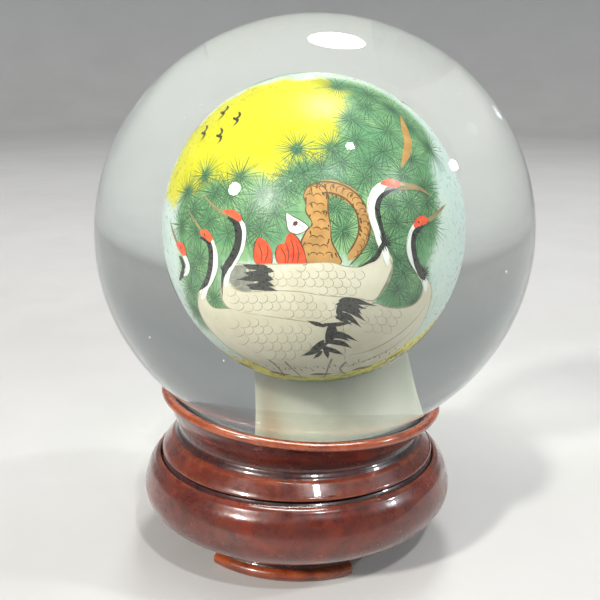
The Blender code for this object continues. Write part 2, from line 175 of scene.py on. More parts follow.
YELLOW = [
    (-90.5, 17.5), (-89, 29.5), (-83.5, 41), (-78, 55), (-65.5, 66), (-50, 76), (-31.5, 81), (-14, 81.5),
    (2.5, 79.5), (16.5, 70.5), (17.5, 60), (11, 46.5), (8.5, 36), (1, 27.5), (-8.5, 25.5), (-18.5, 20.5),
    (-33, 22), (-46, 19.5), (-57.5, 19), (-73.5, 13),
]
TAIL_FEATHERS = [
    ([(10, -31), (16, -31), (28, -34.5)], 1.05),
    ([(9, -32.5), (15.5, -33), (23, -35.5)], 1.0),
    ([(10, -34.5), (16, -36), (23.5, -42)], 1.0),
    ([(9.5, -36.5), (15, -39), (21.5, -45)], 0.95),
    ([(9, -38.5), (12.5, -40), (17, -43.5)], 0.8),
    ([(14, -30.5), (11, -34.5), (10, -39.5)], 1.3),
    ([(12, -33.5), (17, -34.5), (21, -38)], 0.9),
    ([(3, -42.5), (10.5, -42.5), (18, -41.5)], 0.8),
    ([(5, -43.5), (0.5, -42), (-3.5, -40.5)], 0.8),
    ([(7.5, -42), (7.5, -48), (5, -55)], 1.7),
    ([(5, -46.5), (12.5, -48), (21, -53)], 0.85),
    ([(5, -52), (12, -53), (18.5, -57)], 1.1),
    ([(3, -54.5), (9.5, -58), (14.5, -61)], 0.95),
    ([(5.5, -52.5), (-0.5, -58.5), (-6.5, -61.5)], 1.15),
    ([(4.5, -55), (6, -59), (7, -63.5)], 0.8),
    ([(3.5, -57.5), (2, -60.5), (-0.5, -63.5)], 0.7),
    ([(4.5, -51), (1, -55), (-2.5, -58.5)], 0.9),
    ([(7, -49.5), (12, -49.5), (17, -52.5)], 0.7),
    ([(-20, -16.5), (-27, -17), (-31.5, -16)], 0.9),
    ([(-20, -19), (-26.5, -20), (-31, -19.5)], 1.0),
    ([(-20, -22), (-27.5, -22), (-34.5, -23)], 0.95),
    ([(-20.5, -24.5), (-26.5, -25.5), (-30.5, -25)], 1.0),
    ([(-28.5, -26.5), (-21, -26), (-15.5, -27)], 0.8),
    ([(-25.5, -18), (-20, -18), (-17, -18.5)], 0.9),
    ([(-25.5, -21), (-20, -21.5), (-17.5, -22)], 1.0),
    ([(-25.5, -24.5), (-20.5, -24), (-17, -25)], 0.95),
    ([(-22.5, -16), (-22.5, -21), (-23, -26.5)], 2.0),
]

# Lamps: name, direction from the ball's centre, distance, size in metres, watts, colour.
LAMPS = (
    ("key", (-0.61, -0.62, 0.50), 1.10, 0.11, 11.0, (1.0, 0.97, 0.92)),
    ("top", (0.24, -0.54, 0.81), 1.10, 0.07, 4.0, (1.0, 1.0, 1.0)),
    ("right", (0.86, -0.12, 0.49), 0.90, 0.07, 2.5, (0.92, 0.96, 1.0)),
    ("overhead", (0.10, 0.55, 0.85), 0.90, 0.24, 3.0, (1.0, 1.0, 1.0)),
)


# ---------------------------------------------------------------- geometry helpers
EASEL = {"front": PICTURE_FRONT, "right": PICTURE_RIGHT, "up": PICTURE_UP}


def set_easel(front, mirrored=False):
    """Lays out what wall() places round another point of the cavity, mirrored if asked."""
    up = (NECK_UP - front * NECK_UP.dot(front)).normalized()
    right = up.cross(front)
    EASEL.update(front=front, up=up, right=-right if mirrored else right)


def wall(a, b):
    """Direction from the ball's centre to the point (a, b) degrees right and up of the picture's middle."""
    far = math.hypot(a, b)
    if far < 1e-6:
        return EASEL["front"].copy()
    rho = math.radians(far)
    across = (EASEL["right"] * a + EASEL["up"] * b) / far
    return EASEL["front"] * math.cos(rho) + across * math.sin(rho)


def plane_of(directions):
    """(a, b) in degrees of each direction, as wall() takes them."""
    d = np.asarray(directions, float)
    x = d @ np.array(PICTURE_RIGHT)
    y = d @ np.array(PICTURE_UP)
    z = np.clip(d @ np.array(PICTURE_FRONT), -1, 1)
    rho = np.degrees(np.arccos(z))
    side = np.maximum(np.hypot(x, y), 1e-9)
    return np.stack([rho * x / side, rho * y / side], 1)


def face_on(a, b):
    """Where (a, b) shows face on, as shares of the cavity's radius."""
    far = math.hypot(a, b)
    if far < 1e-6:
        return 0.0, 0.0
    k = math.sin(math.radians(min(far, 90.0))) / far
    return a * k, b * k


def from_face_on(u, v):
    """The (a, b) that shows face on at shares (u, v) of the cavity's radius."""
    r = math.hypot(u, v)
    if r < 1e-6:
        return 0.0, 0.0
    rho = math.degrees(math.asin(min(r, 0.999)))
    return u * rho / r, v * rho / r


def about_neck(lon, lat):
    """Direction at a longitude from the front towards the right and a latitude about the neck's axis."""
    lo, la = math.radians(lon), math.radians(lat)
    level = NECK_FRONT * math.cos(lo) + NECK_RIGHT * math.sin(lo)
    return level * math.cos(la) + NECK_UP * math.sin(la)


def inside(point, polygon):
    """Whether a point lies inside a polygon."""
    x, y = point
    hit = False
    for (x0, y0), (x1, y1) in zip(polygon, polygon[1:] + polygon[:1]):
        if (y0 > y) != (y1 > y) and x < x0 + (y - y0) * (x1 - x0) / (y1 - y0):
            hit = not hit
    return hit


def signed_distance(points, polygon):
    """Distance of many points to a polygon's edge, positive inside."""
    pts = np.asarray(points, float)
    best = np.full(len(pts), 1e9)
    hit = np.zeros(len(pts), bool)
    for (x0, y0), (x1, y1) in zip(polygon, polygon[1:] + polygon[:1]):
        ex, ey = x1 - x0, y1 - y0
        t = np.clip(((pts[:, 0] - x0) * ex + (pts[:, 1] - y0) * ey) / (ex * ex + ey * ey), 0, 1)
        best = np.minimum(best, np.hypot(pts[:, 0] - x0 - t * ex, pts[:, 1] - y0 - t * ey))
        if y0 != y1:
            cross = ((y0 > pts[:, 1]) != (y1 > pts[:, 1])) & (
                pts[:, 0] < x0 + (pts[:, 1] - y0) * ex / ey
            )
            hit ^= cross
    return np.where(hit, best, -best)


def smooth(knots, per_span=4, closed=False):
    """Catmull-Rom points through knots of any dimension."""
    k = [tuple(p) for p in knots]
    if closed:
        ring = [k[-1]] + k + [k[0], k[1]]
    else:
        ring = [tuple(2 * a - b for a, b in zip(k[0], k[1]))] + k
        ring += [tuple(2 * a - b for a, b in zip(k[-1], k[-2]))]
    out = []
    for p0, p1, p2, p3 in zip(ring, ring[1:], ring[2:], ring[3:]):
        for i in range(per_span):
            t = i / per_span
            out.append(tuple(
                0.5 * (2 * b + (c - a) * t + (2 * a - 5 * b + 4 * c - d) * t * t
                       + (3 * b - a - 3 * c + d) * t ** 3)
                for a, b, c, d in zip(p0, p1, p2, p3)
            ))
    if not closed:
        out.append(k[-1])
    return out


def arc(centre, radius, start, end, segments):
    """Points of a round stretch, between angles in degrees."""
    return [
        (centre[0] + radius * math.cos(math.radians(start + (end - start) * i / segments)),
         centre[1] + radius * math.sin(math.radians(start + (end - start) * i / segments)))
        for i in range(segments + 1)
    ]


def oblate(radius, equator, polar):
    """Height of a flattened ball above its middle, at a radius."""
    return polar * math.sqrt(max(0.0, 1.0 - (radius / equator) ** 2))


def make_object(name, verts, faces, paint, body, attributes=None, sharp=40.0, smooth_all=False):
    mesh = bpy.data.meshes.new(name)
    mesh.from_pydata([tuple(v) for v in verts], [], faces)
    mesh.update()
    for key, values in (attributes or {}).items():
        layer = mesh.attributes.new(key, "FLOAT", "POINT")
        layer.data.foreach_set("value", np.asarray(values, np.float32))
    mesh.materials.append(paint)
    mesh.shade_smooth()
    if not smooth_all:
        mesh.set_sharp_from_angle(angle=math.radians(sharp))
    obj = bpy.data.objects.new(name, mesh)
    bpy.context.scene.collection.objects.link(obj)
    if body:
        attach(obj, body)
    return obj


def lathe(profile, steps, place, closed=True):
    """Vertices and faces of a profile turned about Z.

    Each profile item is a radius, a height and any extra values.
    place(point, extra) puts a point in the scene.
    """
    verts, faces, index, extra = [], [], [], []
    for item in profile:
        radius, height = item[0], item[1]
        tag = item[2:] if len(item) > 2 else ()
        if radius < 1e-9:
            index.append([len(verts)])
            verts.append(place(Vector((0.0, 0.0, height)), tag))
            extra.append(tag)
            continue
        row = []
        for i in range(steps):
            t = 2 * math.pi * i / steps
            row.append(len(verts))
            verts.append(place(Vector((radius * math.sin(t), -radius * math.cos(t), height)), tag))
            extra.append(tag)
        index.append(row)
    pairs = list(zip(index, index[1:]))
    if closed and len(index[0]) > 1:
        pairs.append((index[-1], index[0]))
    for low, high in pairs:
        for i in range(steps):
            j = (i + 1) % steps
            if len(low) == 1:
                faces.append((low[0], high[i], high[j]))
            elif len(high) == 1:
                faces.append((low[i], high[0], low[j]))
            else:
                faces.append((low[i], high[i], high[j], low[j]))
    return verts, faces, extra


def outward(verts, faces):
    """Turns a closed body's faces so that they face out."""
    v = np.array([tuple(p) for p in verts])
    total = 0.0
    for f in faces:
        for i in range(1, len(f) - 1):
            total += np.dot(v[f[0]], np.cross(v[f[i]], v[f[i + 1]]))
    return faces if total > 0 else [tuple(reversed(f)) for f in faces]


# ---------------------------------------------------------------- material helpers
class Graph:
    """A material's node tree with short names for what is used here."""

    def __init__(self, name):
        self.material = bpy.data.materials.new(name)
        self.material.use_nodes = True
        self.tree = self.material.node_tree
        self.shader = self.tree.nodes["Principled BSDF"]
        self.output = self.tree.nodes["Material Output"]

    def node(self, kind, **settings):
        made = self.tree.nodes.new(kind)
        for key, value in settings.items():
            setattr(made, key, value)
        return made

    def link(self, source, target):
        self.tree.links.new(source, target)

    def put(self, name, value):
        socket = self.shader.inputs[name]
        if isinstance(value, bpy.types.NodeSocket):
            self.link(value, socket)
        else:
            socket.default_value = value

    def position(self):
        return self.node("ShaderNodeTexCoord").outputs["Object"]

    def noise(self, scale, detail=3.0, roughness=0.55, distortion=0.0, vector=None):
        made = self.node("ShaderNodeTexNoise")
        made.inputs["Scale"].default_value = scale
        made.inputs["Detail"].default_value = detail
        made.inputs["Roughness"].default_value = roughness
        made.inputs["Distortion"].default_value = distortion
        self.link(vector or self.position(), made.inputs["Vector"])
        return made.outputs["Fac"]

    def attribute(self, name):
        return self.node("ShaderNodeAttribute", attribute_name=name).outputs["Fac"]

    def ramp(self, value, low, high, to_low=0.0, to_high=1.0):
        made = self.node("ShaderNodeMapRange", interpolation_type="SMOOTHSTEP")
        for key, number in zip(("From Min", "From Max", "To Min", "To Max"), (low, high, to_low, to_high)):
            made.inputs[key].default_value = number
        self.link(value, made.inputs["Value"])
        return made.outputs["Result"]

    def maths(self, operation, a, b):
        made = self.node("ShaderNodeMath", operation=operation)
        for socket, value in zip(made.inputs, (a, b)):
            if isinstance(value, bpy.types.NodeSocket):
                self.link(value, socket)
            else:
                socket.default_value = value
        return made.outputs[0]

    def times(self, a, b):
        return self.maths("MULTIPLY", a, b)

    def mix(self, share, a, b):
        made = self.node("ShaderNodeMix", data_type="RGBA")
        for socket, value in ((made.inputs[0], share), (made.inputs[6], a), (made.inputs[7], b)):
            if isinstance(value, bpy.types.NodeSocket):
                self.link(value, socket)
            elif socket == made.inputs[0]:
                socket.default_value = value
            else:
                socket.default_value = (*value, 1.0)
        return made.outputs[2]

    def bump(self, height, strength, distance):
        made = self.node("ShaderNodeBump")
        made.inputs["Strength"].default_value = strength
        made.inputs["Distance"].default_value = distance
        self.link(height, made.inputs["Height"])
        self.link(made.outputs["Normal"], self.shader.inputs["Normal"])


def paint_material(name, light, dark, scale=900.0, roughness=0.34, specular=0.35, tone_share=0.5):
    """Hand-laid paint: two tones by brush load and by stroke, with a slight relief."""
    g = Graph(name)
    brush = g.ramp(g.noise(scale, 4.0, 0.6), 0.3, 0.7)
    stroke = g.attribute("tone")
    share = g.maths("ADD", g.times(brush, 1 - tone_share), g.times(stroke, tone_share))
    g.put("Base Color", g.mix(share, light, dark))
    g.put("Roughness", g.ramp(g.noise(scale * 1.7, 2.0), 0.3, 0.7, roughness - 0.06, roughness + 0.08))
    g.put("Specular IOR Level", specular)
    g.bump(g.noise(scale * 2.2, 2.0), 0.12, 0.00003)
    return g.material


def glass_material(name, tint, roughness=0.0, ior=1.5):
    """Clear glass that lets lamps through, so that what is inside it is lit."""
    g = Graph(name)
    g.put("Base Color", (*tint, 1.0))
    g.put("Roughness", roughness)
    g.put("IOR", ior)
    g.put("Transmission Weight", 1.0)
    clear = g.node("ShaderNodeBsdfTransparent")
    clear.inputs["Color"].default_value = (*[0.5 + 0.5 * t for t in tint], 1.0)
    path = g.node("ShaderNodeLightPath")
    either = g.node("ShaderNodeMixShader")
    g.link(path.outputs["Is Shadow Ray"], either.inputs[0])
    g.link(g.shader.outputs[0], either.inputs[1])
    g.link(clear.outputs[0], either.inputs[2])
    g.link(either.outputs[0], g.output.inputs["Surface"])
    return g


# ---------------------------------------------------------------- glass ball
def neck_place(point, _tag):
    return CENTRE + NECK_FRAME @ point


def make_glass():
    mouth_r = NECK_R + MOUTH_CHAMFER
    last = math.asin(mouth_r / GLOBE_R)
    outer = []
    count = 110
    for i in range(count + 1):
        angle = math.pi / 2 - (math.pi - last) * i / count
        outer.append((GLOBE_R * math.cos(angle), GLOBE_POLAR_R * math.sin(angle)))
    mouth_z = -oblate(mouth_r, GLOBE_R, GLOBE_POLAR_R)
    junction = math.degrees(math.asin(NECK_R / CAVITY_R))
    cavity = arc((0.0, 0.0), CAVITY_R, -90.0 + junction, 90.0, 60)
    profile = [(0.0, GLOBE_POLAR_R)] + outer[1:] + [(NECK_R, mouth_z + MOUTH_CHAMFER)] + cavity
    profile[-1] = (0.0, CAVITY_R)
    verts, faces, _ = lathe(profile, 192, neck_place, closed=False)
    g = glass_material("clear_glass", (0.905, 0.955, 0.925))
    g.put("Roughness", g.ramp(g.noise(160.0, 5.0, 0.7), 0.55, 0.85, 0.0, 0.02))
    g.bump(g.noise(38.0, 1.0), 0.03, 0.0004)
    faces = outward(verts, faces)
    ball = make_object("glass_ball", verts, faces, g.material, "globe", sharp=30)
    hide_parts("crystal_globe")


def make_bubbles():
    """Seeds in the glass: tiny bubbles and grains."""
    verts, faces, tones = [], [], []
    spots = []
    while len(spots) < 26:
        d = RNG.normal(size=3)
        d /= np.linalg.norm(d)
        r = RNG.uniform(21.5, 37.0) * MM
        if -0.85 < d[2]:
            spots.append((d * r, RNG.uniform(0.05, 0.13) * MM))
    for at, size in spots:
        base = len(verts)
        rows, cols = 5, 8
        verts.append(CENTRE + Vector(at) + Vector((0, 0, size)))
        for i in range(1, rows):
            for j in range(cols):
                th, ph = math.pi * i / rows, 2 * math.pi * j / cols
                verts.append(CENTRE + Vector(at) + size * Vector((
                    math.sin(th) * math.cos(ph), math.sin(th) * math.sin(ph), 1.3 * math.cos(th))))
        verts.append(CENTRE + Vector(at) - Vector((0, 0, size)))
        end = len(verts) - 1
        for j in range(cols):
            k = (j + 1) % cols
            faces.append((base, base + 1 + j, base + 1 + k))
            faces.append((end, base + 1 + (rows - 2) * cols + k, base + 1 + (rows - 2) * cols + j))
            for i in range(rows - 2):
                a = base + 1 + i * cols
                faces.append((a + j, a + cols + j, a + cols + k, a + k))
        tones += [RNG.uniform()] * (len(verts) - base)
    g = Graph("seed_grains")
    g.put("Base Color", g.mix(g.attribute("tone"), (0.82, 0.86, 0.80), (0.55, 0.62, 0.55)))
    g.put("Roughness", g.ramp(g.noise(4000.0), 0.3, 0.7, 0.12, 0.3))
    make_object("glass_seeds", verts, faces, g.material, "globe", {"tone": tones},
                smooth_all=True)


# ---------------------------------------------------------------- painted lining
LAYER = 0.012 * MM
LINING_R = CAVITY_R + 0.02 * MM
FRONT_FANS = [wall(a, b) for a, b in FANS]


def back_fans():
    """Fans of needles that carry the picture on round the back, spread evenly and clear of the sky."""
    found = []
    tries = 0
    while len(found) < 46 and tries < 20000:
        tries += 1
        d = about_neck(RNG.uniform(-180, 180), math.degrees(math.asin(RNG.uniform(-0.55, 0.86))))
        away = PICTURE_FRONT.angle(d)
        if away < math.radians(124 if NECK_UP.dot(d) < 0.7 else 100):
            continue
        if any(d.angle(o) < math.radians(13.5) for o in found + FRONT_FANS):
            continue
        if NECK_FRONT.angle(d) > math.radians(120) and NECK_UP.dot(d) > 0.45 and RNG.uniform() < 0.8:
            continue
        found.append(d)
    return found


BACK_FANS = back_fans()


def make_lining():
    rows, steps = 150, 240
    junction = -90.0 + math.degrees(math.asin((NECK_R + 0.02 * MM) / LINING_R))
    profile = arc((0.0, 0.0), LINING_R, 90.0, junction, rows)
    profile[0] = (0.0, LINING_R)
    verts, faces, _ = lathe(profile, steps, neck_place, closed=False)
    d = np.array([tuple((v - CENTRE) / LINING_R) for v in verts])
    flat = plane_of(d)
    front = np.clip((124 - np.degrees(np.arccos(np.clip(d @ np.array(PICTURE_FRONT), -1, 1)))) / 26, 0, 1)
    across, up = flat[:, 0], flat[:, 1]
    wobble = 1.6 * np.sin(across * 0.31 + 0.5) + 1.3 * np.sin(up * 0.43) * np.cos(across * 0.21)
    sky = np.clip((signed_distance(flat, YELLOW) + wobble + 6.0) / 12.0, 0, 1)
    sky = sky * sky * (3 - 2 * sky) * front
    lat = np.degrees(np.arcsin(np.clip(d @ np.array(NECK_UP), -1, 1)))
    lon = np.degrees(np.arctan2(d @ np.array(NECK_RIGHT), d @ np.array(NECK_FRONT)))
    bare = np.ones(len(d))
    for c in FRONT_FANS + BACK_FANS:
        gap = np.degrees(np.arccos(np.clip(d @ np.array(c), -1, 1)))
        bare *= 1 - 0.95 * np.exp(-((gap / 11.5) ** 2))
    sides = np.clip((np.abs(across + 6) - 56) / 18, 0, 1) * np.clip((60 - up) / 25, 0, 1) * front
    green = (1 - bare) * (1 - 0.9 * sides * sides * (3 - 2 * sides))
    edge = -39.0 + 1.4 * np.sin(np.radians(lon * 7)) + 0.9 * np.sin(np.radians(lon * 17 + 40))
    ground = np.clip((edge - lat) / 1.8 + 0.5, 0, 1)
    grass = np.clip((-55.5 + 0.8 * np.sin(np.radians(lon * 23)) - lat) / 1.5 + 0.5, 0, 1)
    right = np.clip((np.abs(across) - 48) / 30, 0, 1) * front
    g = Graph("scene_paint")
    mottled = g.ramp(g.noise(260.0, 5.0, 0.62, 0.4), 0.32, 0.68)
    fine = g.ramp(g.noise(1500.0, 4.0, 0.65), 0.3, 0.7)
    pale = g.mix(mottled, (0.50, 0.63, 0.55), (0.66, 0.73, 0.62))
    pale = g.mix(g.attribute("right"), pale, (0.54, 0.65, 0.61))
    wash = g.mix(g.ramp(g.noise(190.0, 4.0, 0.6, 0.8), 0.35, 0.68), (0.135, 0.31, 0.155), (0.27, 0.46, 0.21))
    speckle = g.times(g.maths("SUBTRACT", fine, 0.5), 0.25)
    share = g.ramp(g.maths("ADD", g.attribute("green"), speckle), 0.25, 0.8)
    colour = g.mix(share, pale, wash)
    yellow = g.mix(g.ramp(g.noise(120.0, 4.0, 0.55), 0.35, 0.7), (0.64, 0.60, 0.030), (0.56, 0.52, 0.018))
    edge_noise = g.times(g.maths("SUBTRACT", mottled, 0.5), 0.35)
    colour = g.mix(g.ramp(g.maths("ADD", g.attribute("sky"), edge_noise), 0.12, 0.88), colour, yellow)
    soil = g.mix(g.ramp(g.noise(420.0, 4.0), 0.4, 0.65), (0.86, 0.74, 0.035), (0.66, 0.60, 0.035))
    colour = g.mix(g.attribute("ground"), colour, soil)
    colour = g.mix(g.attribute("grass"), colour, (0.16, 0.28, 0.08))
    g.put("Base Color", colour)
    g.put("Roughness", g.ramp(fine, 0.0, 1.0, 0.26, 0.40))
    g.put("Specular IOR Level", 0.4)
    g.bump(g.noise(1900.0, 3.0), 0.12, 0.00003)
    lining = make_object("scene_base_coat", verts, faces, g.material, "globe",
                         {"sky": sky, "green": green, "ground": ground, "grass": grass, "right": right},
                         smooth_all=True)
    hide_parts("scene_painting")


def swelling(width, count, least):
    """Widths in metres of a stroke that swells from a share of its width at the ends to all of it halfway."""
    return [width * MM * (least + (1 - least) * math.sin(math.pi * (k + 0.5) / count)) for k in range(count)]


class Paint:
    """Strokes and fills of one colour, gathered into one mesh on the cavity's wall."""

    def __init__(self):
        self.verts, self.faces, self.tones = [], [], []

    def ribbon(self, dirs, widths, layer, tone=None):
        """A brush stroke along unit directions, with its width at each in metres."""
        if len(dirs) < 2:
            return
        r = LINING_R + LAYER * layer
        base = len(self.verts)
        tone = RNG.uniform() if tone is None else tone
        for i, d in enumerate(dirs):
            ahead = dirs[min(i + 1, len(dirs) - 1)] - dirs[max(i - 1, 0)]
            side = d.cross(ahead)
            if side.length < 1e-12:
                side = d.orthogonal()
            side.normalize()
            half = 0.5 * widths[i]
            for share in (-1, 0, 1):
                spot = (d * r + side * half * share).normalized() * r
                self.verts.append(CENTRE + spot)
                self.tones.append(min(1.0, max(0.0, tone + 0.15 * share)))
        for i in range(len(dirs) - 1):
            a = base + 3 * i
            self.faces.append((a, a + 1, a + 4, a + 3))
            self.faces.append((a + 1, a + 2, a + 5, a + 4))

    def stroke(self, knots, width, layer, tone=None, per_span=5, taper=(0.25, 0.25), wave=0.06):
        """A smooth stroke through (a, b) knots. width in millimetres, a number or one for each knot."""
        given = width if isinstance(width, (list, tuple)) else [width] * len(knots)
        path = smooth([(a, b, w) for (a, b), w in zip(knots, given)], per_span)
        dirs = [wall(a, b) for a, b, _ in path]
        widths = []
        for i, (_, _, w) in enumerate(path):
            t = i / (len(path) - 1)
            ends = 1.0
            if taper[0] > 0 and t < taper[0]:
                ends *= math.sqrt(max(0.03, t / taper[0]))
            if taper[1] > 0 and t > 1 - taper[1]:
                ends *= math.sqrt(max(0.03, (1 - t) / taper[1]))
            widths.append(max(0.02, w * ends * (1 + wave * math.sin(9 * t + w * 50))) * MM)
        self.ribbon(dirs, widths, layer, tone)

    def fill(self, outline, layer, tone=0.5, grid=2.6, rounded=True):
        """A filled shape with a smooth outline of (a, b) knots, subdivided to follow the wall."""
        edge = smooth(outline, 3, closed=True) if rounded else list(outline)
        pts = [Vector(p) for p in edge]
        lows = [min(p[i] for p in edge) for i in (0, 1)]
        highs = [max(p[i] for p in edge) for i in (0, 1)]
        x = lows[0]
        row = 0
        while x < highs[0]:
            y = lows[1] + (0.5 * grid if row % 2 else 0.0)
            while y < highs[1]:
                if inside((x, y), edge):
                    near = min(
                        (x - p[0]) ** 2 + (y - p[1]) ** 2 for p in edge
                    )
                    if near > (0.45 * grid) ** 2:
                        pts.append(Vector((x, y)))
                y += grid
            x += grid
            row += 1
        count = len(edge)
        rim = [(i, (i + 1) % count) for i in range(count)]
        co, _, tris, *_ = delaunay_2d_cdt(pts, rim, [list(range(count))], 1, 1e-5)
        base = len(self.verts)
        r = LINING_R + LAYER * layer
        for p in co:
            d = wall(p[0], p[1])
            self.verts.append(CENTRE + d * r)
            self.tones.append(min(1.0, max(0.0, tone + RNG.uniform(-0.08, 0.08))))
        for t in tris:
            corners = [base + i for i in t]
            a, b, c = (self.verts[i] for i in corners[:3])
            if (b - a).cross(c - a).dot(a - CENTRE) < 0:
                corners.reverse()
            self.faces.append(tuple(corners))

    def outline(self, knots, width, layer, tone=None, closed=False, skip=0.0):
        """A broken brush line along an outline, in lengths with small gaps."""
        path = smooth(knots, 4, closed=closed)
        if closed:
            path = path + [path[0]]
        i = 0
        while i < len(path) - 2:
            run = RNG.integers(8, 18)
            part = path[i:i + run]
            if len(part) > 2 and RNG.uniform() >= skip:
                dirs = [wall(a, b) for a, b in part]
                self.ribbon(dirs, swelling(width, len(dirs), 0.35), layer, tone)
            i += run - 1

    def make(self, name, *paint):
        """Makes the piece. paint is what paint_material takes."""
        make_object(name, self.verts, self.faces, paint_material(*paint), "globe",
                    {"tone": self.tones}, smooth_all=True)


def needle_fans():
    """Radial fans of pine needles, drawn as fine tapered strokes."""
    dark, light = Paint(), Paint()
    for number, c in enumerate(FRONT_FANS + BACK_FANS):
        front = number < len(FRONT_FANS)
        t1 = c.orthogonal().normalized()
        t2 = c.cross(t1)
        reach = math.radians(RNG.uniform(10.5, 14.0))
        count = RNG.integers(42, 54) if front else RNG.integers(20, 28)
        turn = RNG.uniform(0, 6.3)
        for i in range(count):
            phi = turn + 2 * math.pi * (i + RNG.uniform(-0.3, 0.3)) / count
            length = reach * RNG.uniform(0.72, 1.0)
            bend = RNG.uniform(-0.16, 0.16)
            dirs, widths = [], []
            for k in range(6):
                t = 0.05 + 0.95 * k / 5
                f = phi + bend * t
                d = c * math.cos(length * t) + (t1 * math.cos(f) + t2 * math.sin(f)) * math.sin(length * t)
                dirs.append(d)
                widths.append(MM * (0.095 * (1 - t) ** 0.8 + 0.028))
            if min(NECK_UP.dot(d) for d in dirs) < -0.76:
                continue
            (light if i % 3 == 0 else dark).ribbon(dirs, widths, 1.0 + 0.1 * (i % 5), None)
        hub = [c * math.cos(0.012) + (t1 * math.cos(f) + t2 * math.sin(f)) * math.sin(0.012)
               for f in (0, 1.6, 3.2, 4.8)]
        dark.ribbon([hub[0], c, hub[2]], [0.2 * MM, 0.3 * MM, 0.2 * MM], 1.7, 0.8)
    dark.make("pine_needles_dark", "needle_dark", (0.09, 0.17, 0.085), (0.035, 0.07, 0.045))
    light.make("pine_needles_green", "needle_green", (0.14, 0.34, 0.15), (0.07, 0.20, 0.10))


def scales(paint, polygon, layer, size=(0.072, 0.058), start=75, end=-150, width=0.11, lean=0.0):
    """Rows of scale-shaped arcs that fill a shape: feathers or bark."""
    us = [face_on(a, b) for a, b in polygon]
    lo = [min(p[i] for p in us) for i in (0, 1)]
    hi = [max(p[i] for p in us) for i in (0, 1)]
    v, row = lo[1], 0
    while v < hi[1]:
        u = lo[0] + (0.5 * size[0] if row % 2 else 0.0)
        while u < hi[0]:
            cu = u + RNG.uniform(-0.10, 0.10) * size[0]
            cv = v + RNG.uniform(-0.10, 0.10) * size[1] + lean * (u - lo[0])
            knots = []
            for k in range(9):
                f = math.radians(start + (end - start) * k / 8)
                knots.append(from_face_on(cu + 0.55 * size[0] * math.cos(f),
                                          cv + 0.55 * size[1] * math.sin(f)))
            kept = [p for p in knots if inside(p, polygon)]
            if len(kept) == len(knots) and inside(from_face_on(cu, cv), polygon):
                dirs = [wall(a, b) for a, b in knots]
                paint.ribbon(dirs, swelling(width, len(dirs), 0.3), layer)
            u += size[0]
        v += size[1]
        row += 1


# ---------------------------------------------------------------- tree and flowers
LOOP_MIDDLE = (11.0, 1.0)


def make_tree():
    bark, line = Paint(), Paint()
    bark.fill(TRUNK, 2.0, 0.35)
    bark.stroke(LOOP, [1.7, 2.1, 2.0, 1.9, 1.8, 1.8, 1.6, 1.2], 2.2, 0.45, taper=(0.05, 0.1))
    bark.stroke(BRANCH, [0.7, 1.2, 1.3, 1.1, 0.6], 2.0, 0.3)
    for lon in (-152, -118, 128, 165):
        knots = [(lon + 9 * math.sin(k), -30 + 17 * k) for k in range(5)]
        dirs = [about_neck(*p) for p in smooth(knots, 5)]
        bark.ribbon(dirs, [MM * (2.4 - 1.9 * i / len(dirs)) for i in range(len(dirs))], 2.0, 0.4)
    scales(line, TRUNK, 2.8, (0.056, 0.058), 150, 20, 0.15)
    line.outline(TRUNK, 0.20, 2.9, 0.7, closed=True, skip=0.2)
    for shift in (-1.0, 1.0):
        edge = []
        for i, (a, b) in enumerate(LOOP):
            out = (a - LOOP_MIDDLE[0], b - LOOP_MIDDLE[1])
            far = math.hypot(*out)
            edge.append((a + shift * 2.5 * out[0] / far, b + shift * 2.5 * out[1] / far))
        line.stroke(edge, 0.24, 3.0, 0.6, taper=(0.1, 0.1))
    loop = smooth(LOOP, 5)
    for i in range(2, len(loop) - 2, 2):
        a, b = loop[i]
        turn = math.atan2(b - LOOP_MIDDLE[1], a - LOOP_MIDDLE[0])
        knots = [(a + 2.1 * math.cos(turn + f) * 0.8, b + 2.1 * math.sin(turn + f) * 0.8)
                 for f in (2.2, 1.5, 0.8, 0.2, -0.5)]
        line.stroke(knots, 0.12, 3.0, 0.5)
    for k in range(26):
        a, b = loop[k % len(loop)]
        out = (a - LOOP_MIDDLE[0], b - LOOP_MIDDLE[1])
        far = math.hypot(*out)
        shift = -1.9 if k % 3 else 1.7
        at = (a + shift * out[0] / far + RNG.uniform(-0.6, 0.6), b + shift * out[1] / far)
        line.stroke([at, (at[0] + RNG.uniform(-1.5, 1.5), at[1] - RNG.uniform(0.8, 2.2))], 0.30, 3.1, 0.9,
                    taper=(0.4, 0.6), wave=0.3)
    for k in range(30):
        a, b = TRUNK[k % len(TRUNK)]
        at = (a + 0.25 * (1.5 - a) + RNG.uniform(-0.8, 0.8), b + RNG.uniform(-1.0, 1.0))
        line.stroke([at, (at[0] + RNG.uniform(-1.2, 1.2), at[1] - RNG.uniform(0.8, 2.4))], 0.24, 2.95, 0.8,
                    taper=(0.4, 0.6), wave=0.3)
    bark.make("pine_trunk", "bark_paint", (0.60, 0.33, 0.11), (0.33, 0.17, 0.055), 520.0)
    line.make("bark_lines", "bark_line_paint", (0.20, 0.10, 0.035), (0.10, 0.07, 0.035), 900.0)


